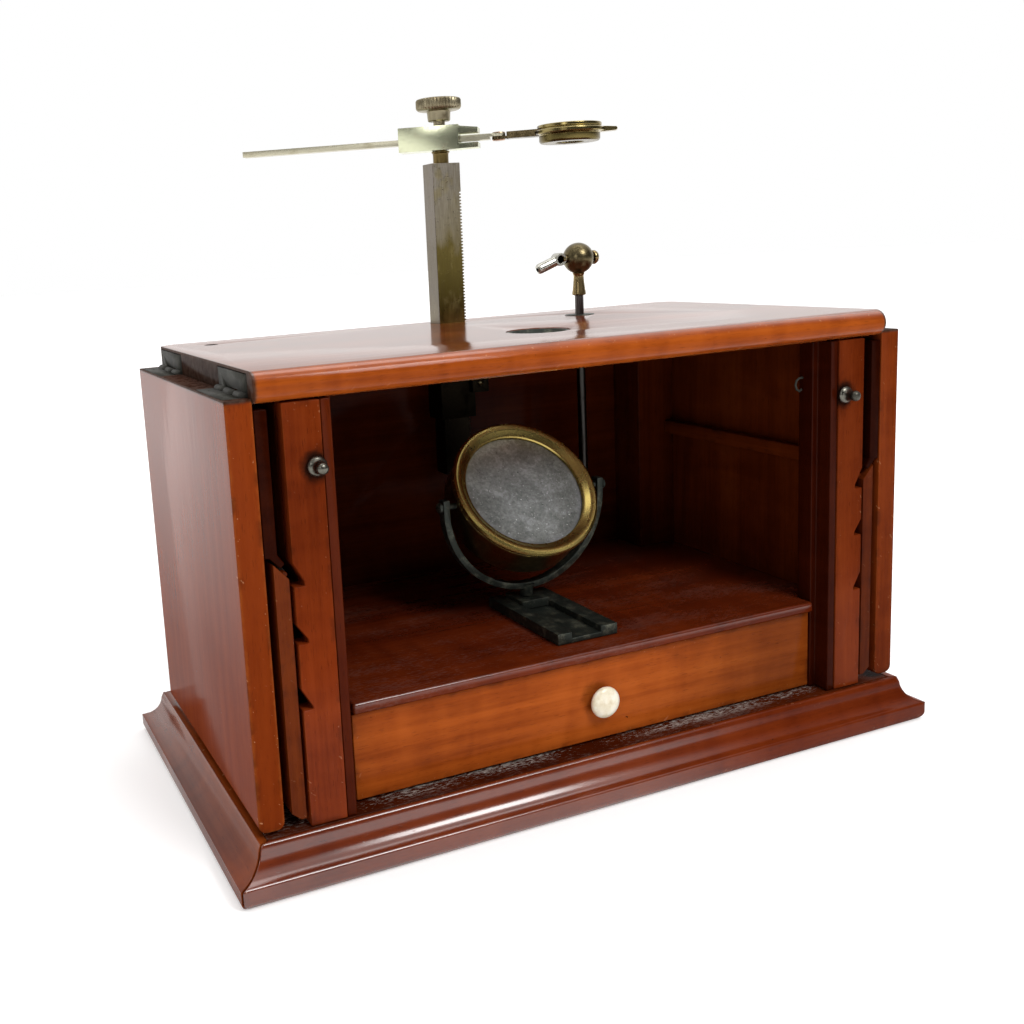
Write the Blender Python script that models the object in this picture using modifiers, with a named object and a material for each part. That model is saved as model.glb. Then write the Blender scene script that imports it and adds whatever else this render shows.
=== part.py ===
"""Victorian mahogany dissecting microscope: a cased stage with hinged arm rests, a drawer,
a rack-and-pinion lens pillar, a gimballed mirror and a ball-jointed pin.

Frame: the origin is the centre of the base's underside, +Z is up and the open front faces -Y.
"""
import math

import bmesh
import bpy
from mathutils import Matrix, Vector

MM = 0.001
GAP = 0.3 * MM

# Case
TOP_HALF = 150 * MM
TOP_FRONT = -85.7 * MM
TOP_BACK = 77 * MM
TOP_UNDER = 188 * MM
TOP_Z = 200 * MM
CORNER_RADIUS = 9 * MM
BASE_Z = 21 * MM
PLINTH_HALF = 172.4 * MM
PLINTH_DEPTH_SCALE = 0.72
BASE_HALF = 158 * MM
BASE_FRONT = -83.5 * MM
BASE_BACK = 83.5 * MM
POST_OUTER = 139.7 * MM
POST_INNER = 124.65 * MM
POST_FRONT = -83.4 * MM
POST_BACK = -75 * MM
SIDE_INNER = 132.3 * MM
BACK_INNER = 72.2 * MM
BACK_OUTER = 76.5 * MM
BACK_HALF = 147.5 * MM
JAMB_INNER = 117.4 * MM
JAMB_BACK = -66 * MM
BEAD_INNER = 120.5 * MM
SHELF_Z = 64.4 * MM
SHELF_UNDER = 59.5 * MM
SHELF_FRONT = -77 * MM
BACK_POST_INNER = 109 * MM
BACK_POST_FRONT = 48 * MM
RAIL_INNER = 126 * MM
RAIL_LOW = 128.5 * MM
RAIL_HIGH = 135.5 * MM

# Notches that hold the struts: top, tip and ledge heights
NOTCH_HEIGHTS = (
    (127.5 * MM, 119.8 * MM, 118.0 * MM),
    (103.0 * MM, 97.0 * MM, 95.5 * MM),
    (77.5 * MM, 70.0 * MM, 69.0 * MM),
)
NOTCH_DEPTH = 4.2 * MM

# Arm rests, their hinges and their struts
HINGE_X = 150.6 * MM
HINGE_Z = 190 * MM
FLAP_INNER = 150.3 * MM
FLAP_OUTER = 160.6 * MM
FLAP_TOP = 190.3 * MM
FLAP_LOW = 23.1 * MM
FLAP_EDGE_RADIUS = 3.2 * MM
FLAP_FRONT = -83 * MM
FLAP_BACK = 72 * MM
LEAF_CENTRES = (-57 * MM, 47 * MM)
LEAF_HALF = 20 * MM
LEAF_PLATE = 1.1 * MM
KNUCKLE_RADIUS = 1.7 * MM
KNUCKLE_SPLIT = 7 * MM
KNUCKLE_ROOM = 2 * MM
PIN_RADIUS = 0.8 * MM
STRUT_HINGE_X = 142 * MM
STRUT_HINGE_Z = 123.2 * MM
STRUT_INNER = 141.2 * MM
STRUT_OUTER = 147 * MM
STRUT_LOW = 25 * MM
STRUT_FRONT = -82.6 * MM
STRUT_BACK = 66 * MM

# Drawer
DRAWER_HALF = 117 * MM
DRAWER_FRONT = -74 * MM
DRAWER_FRONT_BACK = -66 * MM
DRAWER_BACK = 62 * MM
DRAWER_LOW = 22 * MM
DRAWER_HIGH = 58.8 * MM
DRAWER_SIDE_HIGH = 55 * MM
DRAWER_SIDE_WALL = 5.5 * MM
KNOB_RADIUS = 7.1 * MM
KNOB_Z = 39.8 * MM

# Instrument axis: the pillar and the stage hole
AXIS_X = 1 * MM
STAGE_Y = -28.5 * MM
STAGE_RADIUS = 14.6 * MM
PILLAR_Y = 63 * MM
PILLAR_HALF_X = 7.75 * MM
PILLAR_HALF_Y = 5.75 * MM
PILLAR_LOW = 120 * MM
PILLAR_HIGH = 281 * MM
SLEEVE_WALL = 1.8 * MM
SLEEVE_LOW = 150 * MM
PINION_RADIUS = 4 * MM
PINION_Z = 168 * MM
PINION_SHAFT_RADIUS = 1.5 * MM

# Swivelling arm, in a frame turned about the pillar: X along the arm, Y across it
ARM_TURN = math.radians(-34)
ARM_Z = 292.6 * MM
BLOCK_BACK = -20.5 * MM
BLOCK_FRONT = 10.3 * MM
BLOCK_NOSE = 20 * MM
BLOCK_HALF_WIDTH = 6.3 * MM
BLOCK_LOW = 287.5 * MM
BLOCK_HIGH = 299.5 * MM
SLOT_HALF = 1.7 * MM
ARM_HALF_HEIGHT = 1.4 * MM
ARM_HALF_WIDTH = 3.25 * MM
ARM_TAIL = -104.4 * MM
LENS_JOINT = 30 * MM
LENS_CENTRE = 65.3 * MM

# Ball-jointed pin
PIN_X = 65.3 * MM
PIN_Y = 37.4 * MM
PIN_ROD_RADIUS = 2.3 * MM
BALL_Z = 229.3 * MM
BALL_RADIUS = 8 * MM

# Mirror
TRACK_LEFT = -15.2 * MM
TRACK_RIGHT = 15.6 * MM
TRACK_FRONT = -64.5 * MM
TRACK_BACK = -0.5 * MM
TRACK_Z = 69.7 * MM
GROOVE_HALF = 7.5 * MM
MIRROR_X = -0.5 * MM
MIRROR_Y = -12 * MM
MIRROR_Z = 120.8 * MM
MIRROR_SHIFT = -1.5 * MM
MIRROR_TILT = math.radians(48.5)
FORK_OUTER = 43.2 * MM
FORK_INNER = 40.2 * MM
FORK_DROP = 2.3 * MM

ROUND = 40
SIDES = (("left", -1), ("right", 1))

COLLECTION = "dissecting_microscope"
CUTTERS = "cutters"


# Scene, collections and materials

def clear_scene():
    for obj in list(bpy.data.objects):
        bpy.data.objects.remove(obj, do_unlink=True)


def new_collection(name):
    collection = bpy.data.collections.new(name)
    bpy.context.scene.collection.children.link(collection)
    return collection


def material(name, colour, roughness, metallic=0.0):
    mat = bpy.data.materials.new(name)
    mat.use_nodes = True
    shader = mat.node_tree.nodes["Principled BSDF"]
    shader.inputs["Base Color"].default_value = (*colour, 1)
    shader.inputs["Roughness"].default_value = roughness
    shader.inputs["Metallic"].default_value = metallic
    return mat


def mahogany():
    return material("mahogany", (0.21, 0.06, 0.02), 0.25)


def brass():
    return material("brass", (0.45, 0.34, 0.15), 0.35, 1.0)


def black_brass():
    return material("black_brass", (0.03, 0.035, 0.03), 0.5, 0.6)


def steel():
    return material("steel", (0.2, 0.19, 0.19), 0.4, 1.0)


def ivory():
    return material("ivory", (0.86, 0.8, 0.64), 0.35)


def mirror_glass():
    return material("mirror_glass", (0.35, 0.35, 0.36), 0.15, 1.0)


def lens_glass():
    return material("lens_glass", (0.8, 0.85, 0.85), 0.05)


# Shapes

def add_object(name, mesh, mat):
    obj = bpy.data.objects.new(name, mesh)
    bpy.data.collections[COLLECTION].objects.link(obj)
    if mat:
        mesh.materials.append(mat)
    return obj


def box(name, low, high, mat=None):
    """A box between two opposite corners, in any order."""
    pairs = [sorted(pair) for pair in zip(low, high)]
    size = [b - a for a, b in pairs]
    centre = [(a + b) / 2 for a, b in pairs]
    shape = bmesh.new()
    bmesh.ops.create_cube(shape, size=1, matrix=Matrix.Diagonal((*size, 1)))
    mesh = bpy.data.meshes.new(name)
    shape.to_mesh(mesh)
    shape.free()
    obj = add_object(name, mesh, mat)
    obj.location = centre
    return obj


AXIS_TURNS = {
    "x": Matrix.Rotation(math.pi / 2, 4, "Y"),
    "y": Matrix.Rotation(-math.pi / 2, 4, "X"),
    "z": Matrix.Identity(4),
}


def rod(name, start, length, radius, axis="z", mat=None, segments=ROUND):
    """A cylinder that runs from start along an axis."""
    shape = bmesh.new()
    bmesh.ops.create_cone(
        shape, cap_ends=True, segments=segments, radius1=radius, radius2=radius, depth=length,
        matrix=Matrix.Translation((0, 0, length / 2)))
    bmesh.ops.transform(shape, matrix=AXIS_TURNS[axis], verts=shape.verts)
    mesh = bpy.data.meshes.new(name)
    shape.to_mesh(mesh)
    shape.free()
    obj = add_object(name, mesh, mat)
    obj.location = start
    smooth(mesh)
    return obj


def smooth(mesh):
    mesh.shade_smooth()
    mesh.set_sharp_from_angle(angle=math.radians(35))


def turned(name, profile, location, mat=None, turn=None, steps=ROUND):
    """A profile of (radius, height) points turned about the local Z axis."""
    mesh = bpy.data.meshes.new(name)
    points = [(radius, 0, height) for radius, height in profile]
    closed = profile[0][0] > 0 and profile[-1][0] > 0
    edges = [(i, i + 1) for i in range(len(points) - 1)]
    if closed:
        edges.append((len(points) - 1, 0))
    mesh.from_pydata(points, edges, [])
    obj = add_object(name, mesh, mat)
    screw = obj.modifiers.new("turn", "SCREW")
    screw.axis = "Z"
    screw.steps = steps
    screw.render_steps = steps
    screw.use_merge_vertices = True
    screw.merge_threshold = 0.00002
    screw.use_smooth_shade = True
    obj.location = location
    if turn:
        obj.rotation_euler = turn
    return obj


PLANES = {
    "xy": Matrix.Identity(4),
    "xz": Matrix.Rotation(math.pi / 2, 4, "X"),
    "yz": Matrix(((0, 0, 1, 0), (1, 0, 0, 0), (0, 1, 0, 0), (0, 0, 0, 1))),
}
NORMALS = {"xy": Vector((0, 0, 1)), "xz": Vector((0, 1, 0)), "yz": Vector((1, 0, 0))}


def outline(name, points, plane, start, end, mat=None):
    """A flat outline in a plane, extruded across it from start to end."""
    curve = bpy.data.curves.new(name, "CURVE")
    curve.dimensions = "2D"
    curve.fill_mode = "BOTH"
    curve.extrude = abs(end - start) / 2
    spline = curve.splines.new("POLY")
    spline.points.add(len(points) - 1)
    for point, (u, v) in zip(spline.points, points):
        point.co = (u, v, 0, 1)
    spline.use_cyclic_u = True
    sketch = add_object(name + "_sketch", curve, None)
    sketch.matrix_world = Matrix.Translation(NORMALS[plane] * (start + end) / 2) @ PLANES[plane]
    bpy.context.view_layer.update()
    graph = bpy.context.evaluated_depsgraph_get()
    mesh = bpy.data.meshes.new_from_object(sketch.evaluated_get(graph))
    shape = bmesh.new()
    shape.from_mesh(mesh)
    bmesh.ops.remove_doubles(shape, verts=shape.verts, dist=0.00001)
    bmesh.ops.recalc_face_normals(shape, faces=shape.faces)
    shape.to_mesh(mesh)
    shape.free()
    mesh.name = name
    mesh.materials.clear()
    obj = add_object(name, mesh, mat)
    obj.matrix_world = sketch.matrix_world
    bpy.data.objects.remove(sketch, do_unlink=True)
    return obj


def arc(centre, radius, start, end, steps):
    """Points on a circle, from one angle to another in degrees."""
    points = []
    for i in range(steps + 1):
        angle = math.radians(start + (end - start) * i / steps)
        points.append((centre[0] + radius * math.cos(angle), centre[1] + radius * math.sin(angle)))
    return points


def shape_with(target, tools, operation):
    """Join or cut a solid with tools, which then leave the model as hidden guides."""
    for tool in tools:
        boolean = target.modifiers.new(operation.lower(), "BOOLEAN")
        boolean.operation = operation
        boolean.solver = "EXACT"
        boolean.object = tool
        tool.hide_render = True
        tool.display_type = "WIRE"
        bpy.data.collections[COLLECTION].objects.unlink(tool)
        bpy.data.collections[CUTTERS].objects.link(tool)
    return target


def join(target, *tools):
    return shape_with(target, tools, "UNION")


def cut(target, *tools):
    return shape_with(target, tools, "DIFFERENCE")


def frame(name, location, turn_z=0.0):
    """An empty on a joint's axis, which the moving pieces are parented to."""
    empty = bpy.data.objects.new(name, None)
    empty.location = location
    empty.rotation_euler = (0, 0, turn_z)
    empty.empty_display_size = 0.01
    bpy.data.collections[COLLECTION].objects.link(empty)
    bpy.context.view_layer.update()
    return empty


def hang(parent, *pieces):
    """Parent pieces that are placed in world coordinates, and leave them where they are."""
    bpy.context.view_layer.update()
    for piece in pieces:
        piece.parent = parent
        piece.matrix_parent_inverse = parent.matrix_world.inverted()


def hang_local(parent, *pieces):
    """Parent pieces that are placed in the parent's own frame."""
    for piece in pieces:
        piece.parent = parent


# Base and plinth

def plinth_profile():
    """(outward distance from the base board's edge, height) of the moulding, outline closed."""
    inner = GAP
    face = 3.7 * MM
    foot = PLINTH_HALF - BASE_HALF
    points = [(inner, BASE_Z), (face, BASE_Z)]
    points += arc((foot + 1.6 * MM, 19.5 * MM), 11.3 * MM, 185, 262, 7)
    radius = 3.4 * MM
    points += [(foot, 7.4 * MM)]
    points += arc((foot - radius, radius), radius, 0, -90, 5)
    points += [(inner, 0)]
    return points


def mitred_moulding(name, half_length, place, turn, depth, neighbour):
    """The plinth profile along local X, facing local -Y, its ends mitred to meet the neighbours."""
    profile = [(-out * depth, height) for out, height in plinth_profile()]
    moulding = outline(name, profile, "yz", -half_length, half_length, wood)
    mesh = moulding.data
    mesh.transform(moulding.matrix_world)
    moulding.matrix_world = Matrix.Identity(4)
    for vertex in mesh.vertices:
        reach = -vertex.co.y / depth * neighbour - GAP
        vertex.co.x += math.copysign(reach, vertex.co.x)
    if mesh_is_inside_out(mesh):
        mesh.flip_normals()
    moulding.location = place
    moulding.rotation_euler = (0, 0, turn)
    return moulding


def mesh_is_inside_out(mesh):
    shape = bmesh.new()
    shape.from_mesh(mesh)
    inside_out = shape.calc_volume(signed=True) < 0
    shape.free()
    return inside_out


def build_base():
    box("base_board", (-BASE_HALF, BASE_FRONT, 0), (BASE_HALF, BASE_BACK, BASE_Z), wood)
    middle = (BASE_FRONT + BASE_BACK) / 2
    across = BASE_HALF
    along = (BASE_BACK - BASE_FRONT) / 2
    thin = PLINTH_DEPTH_SCALE
    mitred_moulding("plinth_front", across, (0, BASE_FRONT, 0), 0, thin, 1)
    mitred_moulding("plinth_right", along, (BASE_HALF, middle, 0), math.pi / 2, 1, thin)
    mitred_moulding("plinth_back", across, (0, BASE_BACK, 0), math.pi, thin, 1)
    mitred_moulding("plinth_left", along, (-BASE_HALF, middle, 0), -math.pi / 2, 1, thin)


# Sides, back and shelf

def notch_cutters(name, side, front, back):
    cutters = []
    for number, (top, tip, ledge) in enumerate(NOTCH_HEIGHTS, 1):
        outside = POST_OUTER + 1 * MM
        inside = POST_OUTER - NOTCH_DEPTH
        slope = (top - tip) / NOTCH_DEPTH
        points = [
            (side * outside, top + slope * 1 * MM),
            (side * inside, tip),
            (side * inside, ledge),
            (side * outside, ledge),
        ]
        cutters.append(outline(f"{name}_notch_{number}", points, "xz", front, back))
    return cutters


def build_side(side_name, side):
    top = TOP_UNDER - GAP
    low = BASE_Z + GAP
    post = box(
        f"post_{side_name}", (side * POST_INNER, POST_FRONT, low), (side * POST_OUTER, POST_BACK, top), wood)
    cut(post, *notch_cutters(f"post_{side_name}", side, POST_FRONT - 1 * MM, POST_BACK + 1 * MM))
    panel_front = POST_BACK + GAP
    panel_back = BACK_INNER - GAP
    panel = box(
        f"side_panel_{side_name}", (side * SIDE_INNER, panel_front, low), (side * POST_OUTER, panel_back, top),
        wood)
    cut(panel, *notch_cutters(f"side_{side_name}", side, panel_front - 1 * MM, panel_back + 1 * MM))

    bead_outer = POST_INNER - GAP
    bead_front = POST_FRONT + 0.5 * MM
    jamb_front = POST_BACK + GAP
    jamb_outer = SIDE_INNER - GAP
    section = [
        (BEAD_INNER, bead_front), (bead_outer, bead_front), (bead_outer, jamb_front),
        (jamb_outer, jamb_front), (jamb_outer, JAMB_BACK), (JAMB_INNER, JAMB_BACK),
        (JAMB_INNER, jamb_front), (BEAD_INNER, jamb_front),
    ]
    outline(f"jamb_{side_name}", [(side * x, y) for x, y in section], "xy", low, top, wood)

    box(
        f"back_post_{side_name}", (side * BACK_POST_INNER, BACK_POST_FRONT, SHELF_Z + GAP),
        (side * jamb_outer, BACK_INNER - GAP, top), wood)
    box(
        f"side_rail_{side_name}", (side * RAIL_INNER, JAMB_BACK + GAP, RAIL_LOW),
        (side * jamb_outer, BACK_POST_FRONT - GAP, RAIL_HIGH), wood)


def build_back():
    """The back closes the sides and the room behind the struts; its corners follow the top's."""
    corner = [(BACK_HALF - 4 * MM, BACK_OUTER), (BACK_HALF, BACK_OUTER - 3 * MM), (BACK_HALF, BACK_INNER)]
    points = corner + [(-x, y) for x, y in reversed(corner)]
    panel = outline("back_panel", points, "xy", BASE_Z + GAP, TOP_UNDER - GAP, wood)
    cut(panel, rod("back_panel_hole", (pinion_x(), BACK_INNER - 1 * MM, PINION_Z), 8 * MM, 5.3 * MM, "y"))


def build_shelf():
    wide = SIDE_INNER - GAP
    narrow = JAMB_INNER - GAP
    step = JAMB_BACK + GAP
    back = BACK_INNER - GAP
    points = [
        (-narrow, SHELF_FRONT), (narrow, SHELF_FRONT), (narrow, step), (wide, step),
        (wide, back), (-wide, back), (-wide, step), (-narrow, step),
    ]
    outline("shelf", points, "xy", SHELF_UNDER, SHELF_Z, wood)


# Top

def build_top():
    radius = (TOP_Z - TOP_UNDER) / 2
    nose = arc((TOP_FRONT + radius, TOP_UNDER + radius), radius, 270, 90, 12)
    top = outline(
        "top_board", [(TOP_BACK, TOP_Z), (TOP_BACK, TOP_UNDER)] + nose, "yz", -TOP_HALF, TOP_HALF, wood)
    below = TOP_UNDER - 1 * MM
    through = TOP_Z - TOP_UNDER + 2 * MM
    slot_x = PILLAR_HALF_X + GAP
    slot_y = PILLAR_HALF_Y + GAP
    cutters = [
        rod("stage_hole", (AXIS_X, STAGE_Y, below), through, STAGE_RADIUS),
        rod("accessory_hole", (-129 * MM, 54 * MM, below), through, 2.25 * MM, segments=20),
        rod("bush_hole", (PIN_X, PIN_Y, below), through, 4.7 * MM),
        rod("bush_rebate", (PIN_X, PIN_Y, TOP_Z - 1 * MM), 2 * MM, 7.8 * MM),
        box(
            "pillar_slot", (AXIS_X - slot_x, PILLAR_Y - slot_y, below),
            (AXIS_X + slot_x, PILLAR_Y + slot_y, below + through)),
    ]
    for side_name, side in SIDES:
        corner = (side * (TOP_HALF - CORNER_RADIUS), TOP_BACK - CORNER_RADIUS)
        start = 0 if side > 0 else 180
        rounding = arc(corner, CORNER_RADIUS, start, start + side * 90, 8)
        outside = [
            (corner[0], TOP_BACK + 2 * MM), (side * (TOP_HALF + 2 * MM), TOP_BACK + 2 * MM),
            (side * (TOP_HALF + 2 * MM), corner[1]),
        ]
        cutters.append(outline(f"top_corner_{side_name}", rounding + outside, "xy", below, below + through))
        for place, centre in zip(("front", "back"), LEAF_CENTRES):
            reach = LEAF_HALF + GAP
            cutters.append(box(
                f"top_gain_{side_name}_{place}",
                (side * (TOP_HALF - 1.4 * MM), centre - reach, below),
                (side * (TOP_HALF + 1 * MM), centre + reach, HINGE_Z + 8.9 * MM)))
    cut(top, *cutters)

    turned(
        "stage_ring",
        [(14.3 * MM, 6.6 * MM), (14.3 * MM, 0), (11.6 * MM, 0), (11.6 * MM, 1.6 * MM),
         (12.8 * MM, 1.6 * MM), (12.8 * MM, 6.6 * MM)],
        (AXIS_X, STAGE_Y, 193 * MM), black)
    turned(
        "pin_bush",
        [(7.5 * MM, 0.2 * MM), (7.5 * MM, -0.7 * MM), (4.4 * MM, -0.7 * MM), (4.4 * MM, -20 * MM),
         (2.5 * MM, -20 * MM), (2.5 * MM, 0.2 * MM)],
        (PIN_X, PIN_Y, TOP_Z), black)


def build_post_studs():
    profile = [
        (0, 8.4 * MM), (1.2 * MM, 8.2 * MM), (2.1 * MM, 7.5 * MM), (2.4 * MM, 6.4 * MM),
        (2.2 * MM, 5.2 * MM), (1.8 * MM, 4.6 * MM), (2.3 * MM, 3.6 * MM), (2.3 * MM, 2.2 * MM),
        (3.1 * MM, 1.7 * MM), (3.9 * MM, 1.1 * MM), (3.9 * MM, 0), (0, 0),
    ]
    for side_name, side in SIDES:
        turned(
            f"post_stud_{side_name}", profile, (side * 127.7 * MM, POST_FRONT - GAP, 163 * MM), metal,
            (math.pi / 2, 0, 0), 28)


# Arm rests and struts

def build_top_leaf(side_name, side, place, centre):
    """The hinge leaf let into the top's edge, with its two end knuckles and the pin."""
    plate_in = side * (TOP_HALF - LEAF_PLATE)
    plate_out = side * TOP_HALF
    name = f"top_leaf_{side_name}_{place}"
    plate = box(
        name, (plate_in, centre - LEAF_HALF, HINGE_Z + 1.9 * MM),
        (plate_out, centre + LEAF_HALF, HINGE_Z + 8.6 * MM), dull)
    tools = []
    length = LEAF_HALF - KNUCKLE_SPLIT - 0.2 * MM
    for number, start in enumerate((centre - LEAF_HALF, centre + KNUCKLE_SPLIT + 0.2 * MM), 1):
        tools.append(box(
            f"{name}_web_{number}", (plate_in, start, HINGE_Z), (plate_out, start + length, HINGE_Z + 3 * MM)))
        tools.append(rod(
            f"{name}_knuckle_{number}", (side * HINGE_X, start, HINGE_Z), length, KNUCKLE_RADIUS, "y",
            segments=20))
    inset = 0.5 * MM
    tools.append(rod(
        f"{name}_pin", (side * HINGE_X, centre - LEAF_HALF + inset, HINGE_Z), 2 * (LEAF_HALF - inset),
        PIN_RADIUS, "y", segments=16))
    join(plate, *tools)


def build_flap_leaf(side_name, side, place, centre):
    """The hinge leaf let into the arm rest's top edge, with the middle knuckle."""
    name = f"flap_leaf_{side_name}_{place}"
    low = FLAP_TOP - LEAF_PLATE
    plate = box(
        name, (side * (HINGE_X + KNUCKLE_ROOM + 0.1 * MM), centre - LEAF_HALF, low),
        (side * (FLAP_OUTER - 1.3 * MM), centre + LEAF_HALF, FLAP_TOP), dull)
    half = KNUCKLE_SPLIT - 0.2 * MM
    tongue = box(
        f"{name}_tongue", (side * (HINGE_X + 0.4 * MM), centre - half, low + 0.05 * MM),
        (side * (HINGE_X + 4 * MM), centre + half, FLAP_TOP - 0.05 * MM))
    knuckle = rod(
        f"{name}_knuckle", (side * HINGE_X, centre - half, HINGE_Z), 2 * half, KNUCKLE_RADIUS, "y", segments=20)
    bore = rod(
        f"{name}_bore", (side * HINGE_X, centre - half - 1 * MM, HINGE_Z), 2 * half + 2 * MM,
        PIN_RADIUS + 0.25 * MM, "y", segments=16)
    join(plate, tongue, knuckle)
    cut(plate, bore)
    return plate


def build_flap(side_name, side):
    """An arm rest with its batten, and the strut that props it in the post's notches."""
    hinge = frame(f"flap_{side_name}_axis", (side * HINGE_X, 0, HINGE_Z))
    edge = FLAP_EDGE_RADIUS
    points = [(FLAP_INNER, FLAP_TOP)]
    points += arc((FLAP_INNER + edge, FLAP_LOW + edge), edge, 180, 270, 4)
    points += arc((FLAP_OUTER - edge, FLAP_LOW + edge), edge, 270, 360, 4)
    points += [(FLAP_OUTER, FLAP_TOP)]
    panel = outline(
        f"flap_{side_name}", [(side * x, z) for x, z in points], "xz", FLAP_FRONT, FLAP_BACK, wood)
    cutters = []
    for place, centre in zip(("front", "back"), LEAF_CENTRES):
        reach = LEAF_HALF + GAP
        over = FLAP_TOP + 1 * MM
        cutters.append(box(
            f"flap_{side_name}_{place}_gain",
            (side * (FLAP_INNER - 1 * MM), centre - reach, FLAP_TOP - LEAF_PLATE - GAP),
            (side * (FLAP_OUTER - 1 * MM), centre + reach, over)))
        cutters.append(box(
            f"flap_{side_name}_{place}_room",
            (side * (FLAP_INNER - 2 * MM), centre - reach, HINGE_Z - KNUCKLE_ROOM),
            (side * (HINGE_X + KNUCKLE_ROOM), centre + reach, over + 1 * MM)))
    cut(panel, *cutters)

    batten_outer = FLAP_INNER - GAP
    batten_points = [
        (batten_outer, 186), (145, 186), (145, 131.4), (142.4, 127.6), (144.1, 125.9),
        (148.2, 130.4), (batten_outer, 130.4),
    ]
    batten_points = [(x if x < 1 else x * MM, z * MM) for x, z in batten_points]
    batten = outline(
        f"batten_{side_name}", [(side * x, z) for x, z in batten_points], "xz",
        FLAP_FRONT + 0.4 * MM, FLAP_BACK - 4 * MM, wood)

    leaves = []
    for place, centre in zip(("front", "back"), LEAF_CENTRES):
        build_top_leaf(side_name, side, place, centre)
        leaves.append(build_flap_leaf(side_name, side, place, centre))
    hang(hinge, panel, batten, *leaves)

    strut_hinge = frame(f"strut_{side_name}_axis", (side * STRUT_HINGE_X, 0, STRUT_HINGE_Z))
    hang(hinge, strut_hinge)
    toe = STRUT_INNER + 2.2 * MM
    strut_points = [
        (STRUT_INNER, 121.4 * MM), (STRUT_OUTER, 127.8 * MM), (STRUT_OUTER, STRUT_LOW + 3 * MM),
        (toe, STRUT_LOW), (STRUT_INNER, STRUT_LOW),
    ]
    strut = outline(
        f"strut_{side_name}", [(side * x, z) for x, z in strut_points], "xz", STRUT_FRONT, STRUT_BACK, wood)
    roller = rod(
        f"strut_{side_name}_knuckle", (side * STRUT_HINGE_X, STRUT_FRONT + 3 * MM, STRUT_HINGE_Z - 0.6 * MM),
        STRUT_BACK - STRUT_FRONT - 6 * MM, 1.1 * MM, "y", segments=16)
    join(strut, roller)
    hang(strut_hinge, strut)


# Drawer

def build_drawer():
    slide = frame("drawer_axis", (0, DRAWER_FRONT, KNOB_Z))
    front = box(
        "drawer_front", (-DRAWER_HALF, DRAWER_FRONT, DRAWER_LOW),
        (DRAWER_HALF, DRAWER_FRONT_BACK, DRAWER_HIGH), wood)
    box_front = DRAWER_FRONT_BACK + GAP
    inner = DRAWER_HALF - DRAWER_SIDE_WALL
    sides = []
    for side_name, side in SIDES:
        sides.append(box(
            f"drawer_side_{side_name}", (side * inner, box_front, DRAWER_LOW),
            (side * DRAWER_HALF, DRAWER_BACK, DRAWER_SIDE_HIGH), pale))
    edge = inner - GAP
    back = box(
        "drawer_back", (-edge, DRAWER_BACK - DRAWER_SIDE_WALL, DRAWER_LOW), (edge, DRAWER_BACK, DRAWER_SIDE_HIGH),
        pale)
    bottom = box(
        "drawer_bottom", (-edge, box_front, DRAWER_LOW + 1.5 * MM),
        (edge, DRAWER_BACK - DRAWER_SIDE_WALL - GAP, DRAWER_LOW + 4.5 * MM), pale)
    knob = turned(
        "drawer_knob",
        [(0, 5.4 * MM), (3.4 * MM, 5.25 * MM), (5.6 * MM, 4.8 * MM), (6.8 * MM, 4 * MM),
         (KNOB_RADIUS, 3.1 * MM), (6.7 * MM, 2.2 * MM), (5 * MM, 1.2 * MM), (4.4 * MM, 0), (0, 0)],
        (0, DRAWER_FRONT - GAP, KNOB_Z), bone, (math.pi / 2, 0, 0), 36)
    hang(slide, front, back, bottom, knob, *sides)


# Pillar, rack and pinion

def pinion_x():
    return AXIS_X + PILLAR_HALF_X + PINION_RADIUS


def build_pillar():
    lift = frame("pillar_axis", (AXIS_X, PILLAR_Y, PILLAR_HIGH))
    bar = box(
        "pillar", (AXIS_X - PILLAR_HALF_X, PILLAR_Y - PILLAR_HALF_Y, PILLAR_LOW),
        (AXIS_X + PILLAR_HALF_X, PILLAR_Y + PILLAR_HALF_Y, PILLAR_HIGH), metal)
    neck = turned(
        "pillar_neck",
        [(0, 9.5 * MM), (3 * MM, 9.5 * MM), (3 * MM, 6.2 * MM), (4.6 * MM, 6.2 * MM),
         (4.6 * MM, 5.4 * MM), (4 * MM, 5 * MM), (4 * MM, -2 * MM), (0, -2 * MM)],
        (AXIS_X, PILLAR_Y, PILLAR_HIGH))
    join(bar, neck)
    hang(lift, bar)
    return lift


def build_sleeve():
    """The guide under the top that the pillar slides in, with a lug for the pinion's front bearing."""
    slot_x = PILLAR_HALF_X + GAP
    slot_y = PILLAR_HALF_Y + GAP
    outer_x = slot_x + SLEEVE_WALL
    outer_y = slot_y + SLEEVE_WALL
    high = TOP_UNDER - GAP
    sleeve = box(
        "pillar_sleeve", (AXIS_X - outer_x, PILLAR_Y - outer_y, SLEEVE_LOW),
        (AXIS_X + outer_x, PILLAR_Y + outer_y, high), metal)
    lug = box(
        "sleeve_lug", (AXIS_X + PILLAR_HALF_X - 1 * MM, PILLAR_Y - outer_y - 3.6 * MM, PINION_Z - 5 * MM),
        (pinion_x() + 4.5 * MM, PILLAR_Y - outer_y + 0.8 * MM, PINION_Z + 5 * MM))
    bore = box(
        "sleeve_bore", (AXIS_X - slot_x, PILLAR_Y - slot_y, SLEEVE_LOW - 1 * MM),
        (AXIS_X + slot_x, PILLAR_Y + slot_y, high + 1 * MM))
    window = box(
        "sleeve_window", (AXIS_X + PILLAR_HALF_X, PILLAR_Y - 5.4 * MM, PINION_Z - 5.2 * MM),
        (AXIS_X + outer_x + 1 * MM, PILLAR_Y + 5.4 * MM, PINION_Z + 5.2 * MM))
    bearing = rod(
        "sleeve_bearing", (pinion_x(), PILLAR_Y - outer_y - 5 * MM, PINION_Z), 10 * MM,
        PINION_SHAFT_RADIUS + 0.2 * MM, "y", segments=20)
    join(sleeve, lug)
    cut(sleeve, bore, window, bearing)


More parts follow.
